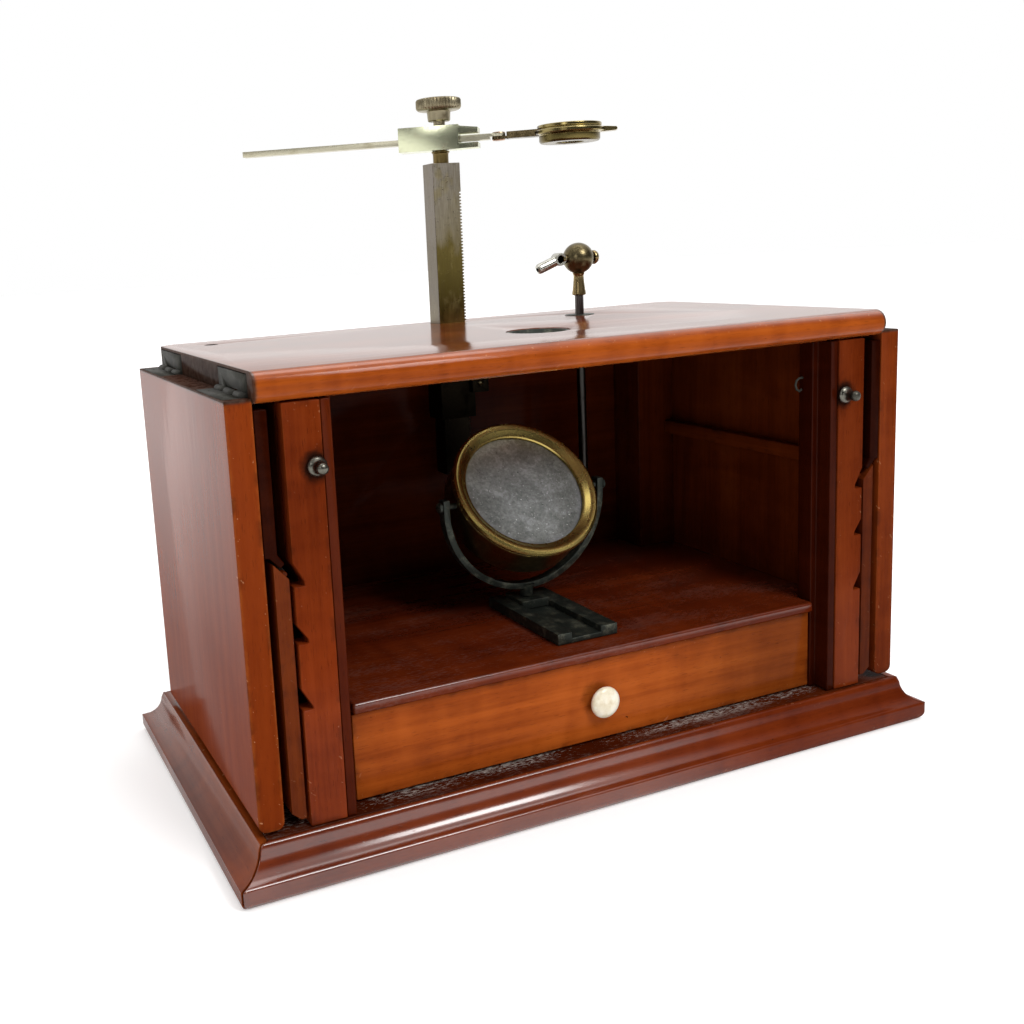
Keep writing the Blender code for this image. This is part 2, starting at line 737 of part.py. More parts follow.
def build_pinion():
    """The pinion turns about Y beside the rack; its milled head stands behind the back panel."""
    axle = frame("pinion_axis", (pinion_x(), PILLAR_Y, PINION_Z))
    head = 9.2 * MM
    profile = [
        (0, 24 * MM), (head - 1.5 * MM, 24 * MM), (head, 23.2 * MM), (head, 18.8 * MM),
        (head - 0.8 * MM, 18 * MM), (3.6 * MM, 18 * MM), (3.6 * MM, 15 * MM),
        (PINION_SHAFT_RADIUS, 15 * MM), (PINION_SHAFT_RADIUS, 5 * MM),
        (PINION_RADIUS - GAP, 5 * MM), (PINION_RADIUS - GAP, -5 * MM),
        (PINION_SHAFT_RADIUS, -5 * MM), (PINION_SHAFT_RADIUS, -11.6 * MM), (0, -11.6 * MM),
    ]
    pinion = turned("pinion", profile, (pinion_x(), PILLAR_Y, PINION_Z), metal, (-math.pi / 2, 0, 0))
    hang(axle, pinion)
    turned(
        "pinion_bush",
        [(5 * MM, 4.9 * MM), (5 * MM, 0), (PINION_SHAFT_RADIUS + 0.2 * MM, 0),
         (PINION_SHAFT_RADIUS + 0.2 * MM, 4.9 * MM)],
        (pinion_x(), BACK_INNER, PINION_Z), metal, (-math.pi / 2, 0, 0), 28)


# Arm, clamp and lens

def build_arm(lift):
    """The clamp block swivels on the pillar; the arm slides through it under the clamp screw."""
    swivel = frame("arm_axis", (AXIS_X, PILLAR_Y, ARM_Z), ARM_TURN)
    swivel.parent = lift
    swivel.matrix_parent_inverse = lift.matrix_world.inverted()
    low = BLOCK_LOW - ARM_Z
    high = BLOCK_HIGH - ARM_Z
    block = box(
        "clamp_block", (BLOCK_BACK, -BLOCK_HALF_WIDTH, low), (BLOCK_FRONT, BLOCK_HALF_WIDTH, high), metal)
    nose = outline(
        "block_nose",
        [(BLOCK_FRONT - 1 * MM, low + 0.1 * MM), (BLOCK_NOSE, -4.9 * MM), (BLOCK_NOSE, 4.9 * MM),
         (BLOCK_FRONT - 1 * MM, high - 0.6 * MM)],
        "xz", -5.6 * MM, 5.6 * MM)
    slot = box(
        "block_slot", (BLOCK_BACK - 1 * MM, -ARM_HALF_WIDTH - GAP, -SLOT_HALF),
        (BLOCK_FRONT + 1 * MM, ARM_HALF_WIDTH + GAP, SLOT_HALF))
    jaw = box(
        "block_jaw", (BLOCK_FRONT, -BLOCK_HALF_WIDTH - 1 * MM, -2.35 * MM),
        (BLOCK_NOSE + 1 * MM, BLOCK_HALF_WIDTH + 1 * MM, 2.35 * MM))
    stud_bore = rod("block_stud_bore", (0, 0, low - 1 * MM), -low + 1 * MM, 3.3 * MM)
    screw_bore = rod("block_screw_bore", (0, 0, 0), high + 1 * MM, 2.3 * MM)
    join(block, nose)
    cut(block, slot, jaw, stud_bore, screw_bore)

    screw = turned(
        "clamp_screw",
        [(0, 13.6 * MM), (10.7 * MM, 13.6 * MM), (11.5 * MM, 12.9 * MM), (11.5 * MM, 8.4 * MM),
         (10.8 * MM, 7.6 * MM), (6.1 * MM, 7.3 * MM), (5.7 * MM, 2.8 * MM), (2.9 * MM, 2.4 * MM),
         (2.9 * MM, GAP), (2 * MM, GAP), (2 * MM, SLOT_HALF - high), (0, SLOT_HALF - high)],
        (0, 0, high), metal)

    bar = box(
        "arm_bar", (ARM_TAIL, -ARM_HALF_WIDTH, -ARM_HALF_HEIGHT),
        (LENS_JOINT - 4.4 * MM, ARM_HALF_WIDTH, ARM_HALF_HEIGHT), metal)
    eye = rod("arm_eye", (LENS_JOINT, 0, -0.1 * MM), ARM_HALF_HEIGHT + 0.1 * MM, 3.4 * MM)
    tongue = box(
        "arm_tongue", (LENS_JOINT - 6 * MM, -ARM_HALF_WIDTH + 0.1 * MM, -0.1 * MM),
        (LENS_JOINT, ARM_HALF_WIDTH - 0.1 * MM, ARM_HALF_HEIGHT - 0.05 * MM))
    eye_bore = rod("arm_eye_bore", (LENS_JOINT, 0, -1 * MM), 3 * MM, 1.5 * MM, segments=24)
    join(bar, tongue, eye)
    cut(bar, eye_bore)
    hang_local(swivel, block, screw, bar)

    carrier = turned(
        "lens_carrier",
        [(16 * MM, 3.2 * MM), (16 * MM, 1.4 * MM), (17.5 * MM, 0.9 * MM), (17.5 * MM, -1.7 * MM),
         (16.6 * MM, -2.1 * MM), (16 * MM, -3.9 * MM), (15.2 * MM, -4.1 * MM), (15.2 * MM, -5.6 * MM),
         (10.6 * MM, -5.6 * MM), (10.6 * MM, -4.6 * MM), (12.8 * MM, -4.6 * MM), (12.8 * MM, 3.2 * MM)],
        (LENS_CENTRE, 0, 0), metal, steps=48)
    near = LENS_JOINT + 5.4 * MM
    far = LENS_CENTRE - 15 * MM
    taper = outline(
        "lens_arm", [(near, -3.1 * MM), (far, -4.6 * MM), (far, 4.6 * MM), (near, 3.1 * MM)], "xy",
        -1.7 * MM, 1.7 * MM)
    lower_tongue = box(
        "lens_tongue", (LENS_JOINT, -3 * MM, -1.55 * MM), (near + 2 * MM, 3 * MM, -0.4 * MM))
    lower_eye = rod("lens_eye", (LENS_JOINT, 0, -1.6 * MM), 1.2 * MM, 3.4 * MM)
    pivot = rod("lens_pivot", (LENS_JOINT, 0, -1 * MM), 3.2 * MM, 1.2 * MM, segments=24)
    lug = box(
        "lens_lug", (LENS_CENTRE + 14 * MM, -3.2 * MM, -1.5 * MM),
        (LENS_CENTRE + 23.7 * MM, 3.2 * MM, 0.6 * MM))
    join(carrier, taper, lower_tongue, lower_eye, pivot, lug)
    lens = turned(
        "lens",
        [(0, 2.4 * MM), (4 * MM, 2.1 * MM), (8 * MM, 1.2 * MM), (12.2 * MM, -0.6 * MM),
         (12.2 * MM, -2.2 * MM), (0, -2.2 * MM)],
        (LENS_CENTRE, 0, -2 * MM), glass, steps=36)
    joint = frame("lens_axis", (0, 0, 0))
    joint.parent = swivel
    joint.location = (LENS_JOINT, 0, 0)
    for piece in (carrier, taper, lower_tongue, lower_eye, pivot, lug, lens):
        piece.location.x -= LENS_JOINT
    hang_local(joint, carrier, taper, lower_tongue, lower_eye, pivot, lug, lens)
    hang_local(swivel, nose, slot, jaw, stud_bore, screw_bore, eye, tongue, eye_bore)


# Ball-jointed pin

def build_pin():
    slide = frame("pin_axis", (PIN_X, PIN_Y, TOP_Z))
    low = 115 * MM - TOP_Z
    neck = BALL_Z - BALL_RADIUS - TOP_Z - 0.4 * MM
    rod_piece = turned(
        "pin_rod",
        [(0, neck), (2.2 * MM, neck), (2.9 * MM, 19.6 * MM), (3.5 * MM, 11.2 * MM), (3.2 * MM, 10.2 * MM),
         (PIN_ROD_RADIUS, 10 * MM), (PIN_ROD_RADIUS, low), (0, low)],
        (PIN_X, PIN_Y, TOP_Z), iron)
    hang(slide, rod_piece)

    swivel = frame("ball_axis", (PIN_X, PIN_Y, BALL_Z))
    hang(slide, swivel)
    sphere = bmesh.new()
    bmesh.ops.create_uvsphere(sphere, u_segments=32, v_segments=16, radius=BALL_RADIUS)
    mesh = bpy.data.meshes.new("pin_ball")
    sphere.to_mesh(mesh)
    sphere.free()
    mesh.shade_smooth()
    ball = add_object("pin_ball", mesh, metal)
    ball.location = (PIN_X, PIN_Y, BALL_Z)
    bore = rod("ball_bore", (PIN_X - 12 * MM, PIN_Y, BALL_Z), 24 * MM, 2.3 * MM, "x", segments=24)
    cut(ball, bore)
    hang(swivel, ball)

    spindle = rod("tool_holder", (PIN_X - 10 * MM, PIN_Y, BALL_Z), 20 * MM, 2 * MM, "x", metal, segments=24)
    boss = turned(
        "holder_boss",
        [(0, 3.2 * MM), (2.6 * MM, 3.2 * MM), (3.7 * MM, 2.4 * MM), (3.7 * MM, 0), (0, 0)],
        (PIN_X + 8.4 * MM, PIN_Y, BALL_Z), None, (0, math.pi / 2, 0), 24)
    eye_x = PIN_X - 11.7 * MM
    eye = rod("holder_eye", (eye_x, PIN_Y - 2.4 * MM, BALL_Z), 4.8 * MM, 3.6 * MM, "y", segments=24)
    tube_turn = math.radians(-20)
    tube = turned(
        "holder_tube",
        [(0, 14 * MM), (1.2 * MM, 13.8 * MM), (2.1 * MM, 12.8 * MM), (2.1 * MM, 0), (0, 0)],
        (eye_x - 2.2 * MM, PIN_Y, BALL_Z - 0.6 * MM), None, (0, -math.pi / 2 + tube_turn, 0), 24)
    eye_hole = rod("holder_eye_hole", (eye_x, PIN_Y - 4 * MM, BALL_Z), 8 * MM, 2 * MM, "y", segments=24)
    join(spindle, boss, eye, tube)
    cut(spindle, eye_hole)
    tilt = frame("holder_axis", (PIN_X, PIN_Y, BALL_Z))
    hang(swivel, tilt)
    hang(tilt, spindle)


# Mirror

def build_mirror():
    track_low = SHELF_Z + GAP
    rail_low = track_low + 2.2 * MM
    section = [
        (TRACK_LEFT, track_low), (TRACK_RIGHT, track_low), (TRACK_RIGHT, TRACK_Z),
        (MIRROR_X + GROOVE_HALF, TRACK_Z), (MIRROR_X + GROOVE_HALF, rail_low),
        (MIRROR_X - GROOVE_HALF, rail_low), (MIRROR_X - GROOVE_HALF, TRACK_Z), (TRACK_LEFT, TRACK_Z),
    ]
    outline("mirror_track", section, "xz", TRACK_FRONT, TRACK_BACK, black)

    slide = frame("mirror_slide_axis", (MIRROR_X, MIRROR_Y, rail_low))
    half = GROOVE_HALF - GAP
    slider = box(
        "mirror_slider", (MIRROR_X - half, MIRROR_Y - 8.5 * MM, rail_low + GAP),
        (MIRROR_X + half, MIRROR_Y + 8.5 * MM, 71.2 * MM), black)
    socket = rod("slider_socket", (MIRROR_X, MIRROR_Y, rail_low - 1 * MM), 10 * MM, 2.3 * MM)
    cut(slider, socket)
    hang(slide, slider)

    swivel = frame("fork_axis", (MIRROR_X, MIRROR_Y, 72 * MM))
    hang(slide, swivel)
    bow = (MIRROR_X, MIRROR_Z - FORK_DROP)
    tip = MIRROR_Z + 3.4 * MM
    points = [(MIRROR_X - FORK_OUTER, tip)] + arc(bow, FORK_OUTER, 180, 360, 36) + [(MIRROR_X + FORK_OUTER, tip)]
    points += [(MIRROR_X + FORK_INNER, tip)] + arc(bow, FORK_INNER, 360, 180, 36) + [(MIRROR_X - FORK_INNER, tip)]
    fork = outline("mirror_fork", points, "xz", MIRROR_Y - 2.6 * MM, MIRROR_Y + 2.6 * MM, black)
    stem = turned(
        "fork_stem",
        [(0, 6 * MM), (4.2 * MM, 6 * MM), (3.2 * MM, 3 * MM), (3.2 * MM, 0), (2 * MM, 0),
         (2 * MM, -3.6 * MM), (0, -3.6 * MM)],
        (MIRROR_X, MIRROR_Y, 71.5 * MM))
    pivots = rod(
        "fork_pivot_hole", (MIRROR_X - 50 * MM, MIRROR_Y, MIRROR_Z), 100 * MM, 1.8 * MM, "x", segments=20)
    join(fork, stem)
    cut(fork, pivots)
    hang(swivel, fork)

    tilt = frame("mirror_tilt_axis", (MIRROR_X, MIRROR_Y, MIRROR_Z))
    hang(swivel, tilt)
    centre = (MIRROR_X + MIRROR_SHIFT, MIRROR_Y, MIRROR_Z)
    turn = (MIRROR_TILT, 0, 0)
    cell = turned(
        "mirror_cell",
        [(0, 1.6 * MM), (32.6 * MM, 1.6 * MM), (32.6 * MM, 5 * MM), (29.2 * MM, 5 * MM),
         (29.2 * MM, 6.6 * MM), (33.4 * MM, 9 * MM), (35.6 * MM, 8.4 * MM), (36.2 * MM, 7 * MM),
         (35.6 * MM, 5.4 * MM), (34.5 * MM, 5 * MM), (34.5 * MM, -12.6 * MM), (33.2 * MM, -14 * MM),
         (0, -14 * MM)],
        centre, metal, turn, 56)
    glass_disc = turned(
        "mirror_glass",
        [(0, 4.7 * MM), (32.3 * MM, 4.7 * MM), (32.3 * MM, 1.9 * MM), (0, 1.9 * MM)],
        centre, silvered, turn, 56)
    trunnion = rod(
        "mirror_trunnion", (MIRROR_X - 44.4 * MM, MIRROR_Y, MIRROR_Z), 88.8 * MM, 1.5 * MM, "x", segments=20)
    join(cell, trunnion)
    hang(tilt, cell, glass_disc)


clear_scene()
new_collection(COLLECTION)
new_collection(CUTTERS)
wood = mahogany()
pale = material("pale_mahogany", (0.35, 0.17, 0.08), 0.55)
metal = brass()
black = black_brass()
dull = material("dull_brass", (0.14, 0.13, 0.11), 0.55, 0.8)
iron = steel()
bone = ivory()
silvered = mirror_glass()
glass = lens_glass()
build_base()
for side_name, side in SIDES:
    build_side(side_name, side)
    build_flap(side_name, side)
build_back()
build_shelf()
build_top()
build_post_studs()
build_drawer()
build_sleeve()
build_pinion()
build_arm(build_pillar())
build_pin()
build_mirror()
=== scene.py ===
import math

import bmesh
import bpy
from mathutils import Matrix, Vector


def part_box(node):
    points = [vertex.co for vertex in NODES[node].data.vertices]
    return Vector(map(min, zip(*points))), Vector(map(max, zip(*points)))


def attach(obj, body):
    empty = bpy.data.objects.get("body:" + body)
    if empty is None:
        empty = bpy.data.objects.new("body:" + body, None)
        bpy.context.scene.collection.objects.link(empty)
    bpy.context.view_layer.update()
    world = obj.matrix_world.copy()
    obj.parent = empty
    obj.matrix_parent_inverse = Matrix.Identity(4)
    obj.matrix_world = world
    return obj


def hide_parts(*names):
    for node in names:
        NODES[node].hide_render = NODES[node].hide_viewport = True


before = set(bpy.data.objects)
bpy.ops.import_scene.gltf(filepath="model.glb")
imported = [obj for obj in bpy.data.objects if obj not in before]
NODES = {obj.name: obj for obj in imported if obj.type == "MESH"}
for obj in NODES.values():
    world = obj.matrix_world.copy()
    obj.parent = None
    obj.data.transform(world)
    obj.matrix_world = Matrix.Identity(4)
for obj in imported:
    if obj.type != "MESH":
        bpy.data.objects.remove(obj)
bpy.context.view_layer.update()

MM = 0.001
WELD_DISTANCE = 0.000005
# a flat outline's XY plane stood up into the XZ plane
UPRIGHT = Matrix(((1, 0, 0, 0), (0, 0, -1, 0), (0, 1, 0, 0), (0, 0, 0, 1)))

# places in millimetres and angles in degrees
PILLAR = (1, 63)
ARM_HEIGHT = 292.6
ARM_ANGLE = -34
LENS_JOINT = 30
LENS_REACH = 65.3
CLAMP_SCREW_HEIGHT = 299.5
PIN = (65.3, 37.4)
BALL_HEIGHT = 229.3
EYE_X = 53.4
MIRROR_X, MIRROR_Y, MIRROR_HEIGHT = -2, -12, 120.8
FORK_X = -0.5
MIRROR_TILT = 48.5


# ---------------------------------------------------------------- shader helpers

class Graph:
    """A material under construction, with short calls for its shader nodes."""

    def __init__(self, name):
        self.material = bpy.data.materials.new(name)
        self.material.use_nodes = True
        self.tree = self.material.node_tree
        self.shader = self.tree.nodes["Principled BSDF"]
        self.place = self.tree.nodes.new("ShaderNodeTexCoord").outputs["Object"]

    def add(self, kind, values=None, **settings):
        node = self.tree.nodes.new("ShaderNode" + kind)
        for key, value in settings.items():
            setattr(node, key, value)
        for socket, value in (values or {}).items():
            self.put(node.inputs[socket], value)
        return node

    def put(self, socket, value):
        """Links a socket, or sets its value."""
        if isinstance(value, bpy.types.NodeSocket):
            self.tree.links.new(value, socket)
        else:
            socket.default_value = value

    def math(self, operation, a, b=0.0, c=0.0):
        return self.add("Math", {0: a, 1: b, 2: c}, operation=operation).outputs[0]

    def vector(self, operation, a, b=(0, 0, 0)):
        return self.add("VectorMath", {0: a, 1: b}, operation=operation).outputs[0]

    def split(self, vector):
        return self.add("SeparateXYZ", {0: vector}).outputs

    def combine(self, x, y, z):
        return self.add("CombineXYZ", {0: x, 1: y, 2: z}).outputs[0]

    def length(self, vector):
        return self.add("VectorMath", {0: vector}, operation="LENGTH").outputs["Value"]

    def coordinate(self, axis):
        """The object coordinate along x, y or z."""
        return self.split(self.place)["xyz".index(axis)]

    def scaled(self, vector, scale):
        return self.add("Mapping", {"Vector": vector, "Scale": scale}).outputs[0]

    def turned(self, vector, rotation):
        return self.add("Mapping", {"Vector": vector, "Rotation": rotation}).outputs[0]

    def noise(self, place, scale, detail=2.0, rough=0.5, distortion=0.0):
        values = {"Vector": place, "Scale": scale, "Detail": detail, "Roughness": rough, "Distortion": distortion}
        return self.add("TexNoise", values).outputs[0]

    def bands(self, value, scale, detail=1.0):
        """Irregular stripes along one number."""
        node = self.add("TexNoise", noise_dimensions="1D")
        self.put(node.inputs["W"], value)
        node.inputs["Scale"].default_value = scale
        node.inputs["Detail"].default_value = detail
        return node.outputs[0]

    def step(self, value, low, high, a=0.0, b=1.0):
        """A smooth change from a to b as the value goes from low to high."""
        node = self.add("MapRange", {0: value, 1: low, 2: high, 3: a, 4: b}, interpolation_type="SMOOTHSTEP")
        return node.outputs[0]

    def ramp(self, value, stops):
        node = self.add("ValToRGB", {0: value})
        elements = node.color_ramp.elements
        while len(elements) < len(stops):
            elements.new(0.5)
        for element, (position, colour) in zip(elements, stops):
            element.position = position
            element.color = (*colour, 1)
        return node.outputs[0]

    def mix(self, factor, a, b, blend="MIX"):
        node = self.add("Mix", data_type="RGBA", blend_type=blend)
        for index, value in ((0, factor), (6, a), (7, b)):
            if not isinstance(value, (bpy.types.NodeSocket, float, int)):
                value = (*value, 1)
            self.put(node.inputs[index], value)
        return node.outputs[2]

    def times(self, colour, level):
        """A colour times a number."""
        return self.mix(1.0, colour, self.combine(level, level, level), "MULTIPLY")

    def bump(self, height, strength, depth, normal=None):
        values = {"Height": height, "Strength": strength, "Distance": depth}
        if normal:
            values["Normal"] = normal
        return self.add("Bump", values).outputs[0]

    def stretched(self, axis, along, across=1.0, shift=(0, 0, 0)):
        """Object coordinates squeezed along one axis, for grain and brushing."""
        scale = [across] * 3
        scale["xyz".index(axis)] = along
        return self.add("Mapping", {"Vector": self.place, "Location": shift, "Scale": scale}).outputs[0]

    def edge_distance(self, low, high):
        """Distance from the nearest arris of a box, on its surface."""
        middle = (low + high) / 2
        half = (high - low) / 2
        inside = self.vector("SUBTRACT", half, self.vector("ABSOLUTE", self.vector("SUBTRACT", self.place, middle)))
        x, y, z = self.split(inside)
        smaller = self.math("MINIMUM", x, y)
        larger = self.math("MAXIMUM", x, y)
        return self.math("MAXIMUM", smaller, self.math("MINIMUM", larger, z))

    def set(self, **values):
        """Sets or links the shader's sockets by their short names, and returns the material."""
        names = {"colour": "Base Color", "rough": "Roughness", "metal": "Metallic", "normal": "Normal",
                 "coat": "Coat Weight", "coat_rough": "Coat Roughness", "coat_normal": "Coat Normal",
                 "coat_ior": "Coat IOR", "ior": "IOR", "specular": "Specular IOR Level",
                 "glassy": "Transmission Weight", "emission": "Emission Color", "glow": "Emission Strength",
                 "subsurface": "Subsurface Weight", "radius": "Subsurface Radius", "depth": "Subsurface Scale"}
        for key, value in values.items():
            self.put(self.shader.inputs[names[key]], value)
        return self.material


# ---------------------------------------------------------------- materials

def mahogany(name, low, high, *, grain, seed, tone, rich, streaky, wear, gloss, coat_rough, coat_ior, ripple, dusty,
             marks, grimy, shade, polish):
    """French-polished mahogany: soft ribbon figure, fine streaks, pores, dark specks, dents and worn arrises.

    tone is the wood's lightness and rich how much redder it gets when dark. streaky, wear, ripple and dusty scale the
    figure, the worn arrises, the waves in the polish and the lint. gloss is the coat's weight.
    """
    g = Graph(name)
    shift = (seed * 0.37, seed * 0.61, seed * 0.23)
    axes = {"x": (0, 1, 2), "y": (1, 2, 0), "z": (2, 0, 1)}[grain]
    parts = g.split(g.place)
    along, across, deep = (parts[i] for i in axes)
    moved = g.vector("ADD", g.combine(along, across, deep), shift)
    slow = g.scaled(moved, (0.2, 1, 1))
    long_ = g.scaled(moved, (0.03, 1, 1))
    short = g.scaled(moved, (0.09, 1, 1))

    # figure, streaks and flecks
    cloud = g.noise(slow, 16, 3, 0.5)
    sweep = g.math("MULTIPLY_ADD", g.noise(slow, 9, 2), 0.03, along)
    bent = g.combine(0.0, g.math("MULTIPLY_ADD", g.noise(slow, 12, 1), 0.05, across),
                     g.math("MULTIPLY_ADD", sweep, 0.02, deep))
    heart = g.vector("ADD", bent, (0, 0.06 + 0.01 * seed % 0.05, 0.13))
    ring = g.bands(g.length(heart), 150, 2)
    streak = g.noise(long_, 600, 3, 0.6)
    figure = g.noise(g.scaled(moved, (1, 0.3, 0.3)), 60, 2, 0.5, 0.6)
    fleck = g.noise(g.scaled(moved, (0.35, 1, 1)), 260, 3, 0.6)
    value = g.math("MULTIPLY_ADD", ring, 0.16, g.math("MULTIPLY_ADD", streak, 0.14, g.math("MULTIPLY", cloud, 0.5)))
    value = g.math("ADD", value, 0.13)
    value = g.math("MULTIPLY_ADD", g.math("SUBTRACT", fleck, 0.5), 0.09, value)
    value = g.math("MULTIPLY_ADD", g.math("SUBTRACT", figure, 0.5), 0.2 * streaky, value)
    value = g.math("MULTIPLY_ADD", g.math("SUBTRACT", value, 0.5), 1.15 * streaky, 0.5)
    green = tone ** rich
    colour = g.ramp(value, [
        (0.28, (0.12 * tone, 0.0185 * green, 0.0026 * tone)), (0.45, (0.24 * tone, 0.043 * green, 0.0056 * tone)),
        (0.58, (0.37 * tone, 0.076 * green, 0.0096 * tone)), (0.74, (0.5 * tone, 0.118 * green, 0.016 * tone))])

    # pores, blotches and specks
    pores = g.step(g.noise(short, 2300, 1, 0.5), 0.64, 0.74)
    colour = g.mix(g.math("MULTIPLY", pores, 0.3), colour, (0.04 * tone, 0.008 * tone, 0.003 * tone))
    blotch = g.step(g.noise(moved, 20, 3, 0.6, 0.4), 0.6, 0.85)
    colour = g.mix(g.math("MULTIPLY", blotch, 0.3), colour, (0.07 * tone, 0.011 * tone, 0.004 * tone))
    specks = g.step(g.noise(moved, 230, 2, 0.7), 0.77, 0.8)
    colour = g.mix(specks, colour, (0.012, 0.006, 0.004))
    # painted light and shade: the colour times a level that changes along one axis
    if shade:
        axis, *levels = shade
        colour = g.times(colour, g.step(g.coordinate(axis), *levels))

    # worn and dirty arrises
    edge = g.edge_distance(low, high)
    ragged = g.math("MULTIPLY_ADD", g.noise(moved, 240, 3, 0.7), -0.0032 * wear, edge)
    rubbed = g.step(ragged, -0.0022 * wear, 0.0001, 1.0, 0.0)
    colour = g.mix(g.math("MULTIPLY", rubbed, 0.4 * wear), colour, (0.6 * tone, 0.17 * tone, 0.032 * tone))
    nick_place = g.turned(moved, (0.6, 0.4, 0.9))
    nicks = g.step(g.noise(g.vector("MULTIPLY", nick_place, (0.06, 1, 1)), 760, 1), 0.71, 0.76)
    nicks = g.math("MULTIPLY", nicks, g.step(edge, 0.0005, 0.004, 1.0, 0.0))
    colour = g.mix(g.math("MULTIPLY", nicks, 0.6 * wear), colour, (0.7, 0.36, 0.18))
    grime = g.math("MULTIPLY", g.step(edge, 0.0, 0.003, 1.0, 0.0), g.step(g.noise(moved, 90, 3), 0.5, 0.66))
    colour = g.mix(g.math("MULTIPLY", grime, 0.4), colour, (0.015, 0.005, 0.003))

    # dark marks: round stains with ragged edges, or a sharp-edged dark disc where no height is given; some paint
    # shade in holes and the knob's shadow
    darkening = 0.0
    for x, y, z, radius, strength in marks:
        hole = z is None
        reach = g.vector("SUBTRACT", g.place, (x * MM, y * MM, 0 if hole else z * MM))
        away = g.length(g.vector("MULTIPLY", reach, (1, 1, 0 if hole else 1)))
        if not hole:
            away = g.math("MULTIPLY_ADD", g.noise(g.place, 420, 3), 0.003, away)
        start = radius - 0.2 if hole else radius * 0.6
        spot = g.step(away, start * MM, (radius + 0.4) * MM, strength, 0.0)
        colour = g.mix(spot, colour, (0.006, 0.004, 0.003))
        darkening = g.math("MAXIMUM", darkening, spot)
    if grimy:
        axis, start, end = grimy
        where = g.math("ABSOLUTE", g.coordinate(axis))
        dirt = g.step(g.math("MULTIPLY_ADD", g.noise(g.place, 130, 4, 0.7), 0.0012, where), start, end, 0.0, 0.88)
        grey = g.ramp(g.noise(moved, 300, 3), [(0.35, (0.01, 0.008, 0.006)), (0.7, (0.05, 0.04, 0.033))])
        colour = g.mix(dirt, colour, grey)

    # polish and lint
    rough = g.math("MULTIPLY_ADD", streak, 0.2, 0.28)
    coat = gloss
    for axis, *levels in polish:
        coat = g.math("MULTIPLY", coat, g.step(g.coordinate(axis), *levels))
    if dusty:
        fibre = g.noise(g.vector("MULTIPLY", g.place, (0.3, 1, 1)), 1100, 5, 0.75, 0.4)
        patch = g.noise(g.vector("MULTIPLY", g.place, (0.35, 1, 1)), 70, 2)
        lint = g.step(g.math("MULTIPLY_ADD", patch, 0.5, fibre), 0.74, 0.9)
        lint = g.math("MULTIPLY", lint, g.step(g.coordinate("y"), -0.0815, -0.0765, 0.12 * dusty, dusty))
        colour = g.mix(lint, colour, (0.34, 0.31, 0.28))
        rough = g.math("MULTIPLY_ADD", lint, 0.5, rough)
        coat = g.math("MULTIPLY", coat, g.math("SUBTRACT", 1.0, lint))
    if marks:
        coat = g.math("MULTIPLY", coat, g.math("SUBTRACT", 1.0, darkening))

    # relief
    scratch_place = g.turned(g.place, (0, 0, 0.35))
    scratch = g.step(g.noise(g.vector("MULTIPLY", scratch_place, (0.02, 1, 1)), 900, 1), 0.74, 0.78)
    smear = g.noise(slow, 45, 3, 0.6)
    height = g.math("MULTIPLY_ADD", pores, -0.5, g.math("MULTIPLY", specks, -1.0))
    height = g.math("MULTIPLY_ADD", nicks, -0.8, g.math("MULTIPLY_ADD", scratch, -0.35, height))
    wave = g.math("MULTIPLY_ADD", g.noise(long_, 200, 2), 0.2, smear)
    broad = g.bump(g.math("MULTIPLY_ADD", scratch, -0.12, wave), 0.2 * ripple, 0.0011)
    fine = g.bump(height, 0.45, 0.00025, broad)
    return g.set(colour=colour, rough=rough, normal=fine, coat=coat, coat_rough=coat_rough, coat_normal=broad,
                 coat_ior=coat_ior, specular=0.0)


def raw_wood(name, grain, seed=0):
    """The unpolished wood of the drawer's sides and bottom."""
    g = Graph(name)
    long_ = g.stretched(grain, 0.04, 1.0, (seed, seed * 0.3, 0))
    streak = g.noise(long_, 700, 4, 0.65)
    cloud = g.noise(g.stretched(grain, 0.3), 30, 3)
    value = g.math("MULTIPLY_ADD", streak, 0.6, g.math("MULTIPLY", cloud, 0.4))
    colour = g.ramp(value, [(0.3, (0.16, 0.06, 0.022)), (0.55, (0.33, 0.155, 0.065)), (0.75, (0.47, 0.26, 0.12))])
    pores = g.step(g.noise(g.stretched(grain, 0.09), 2300, 1), 0.62, 0.7)
    colour = g.mix(g.math("MULTIPLY", pores, 0.6), colour, (0.07, 0.025, 0.01))
    normal = g.bump(g.math("MULTIPLY_ADD", pores, -1.0, streak), 0.5, 0.0003)
    return g.set(colour=colour, rough=g.math("MULTIPLY_ADD", streak, 0.2, 0.55), normal=normal)


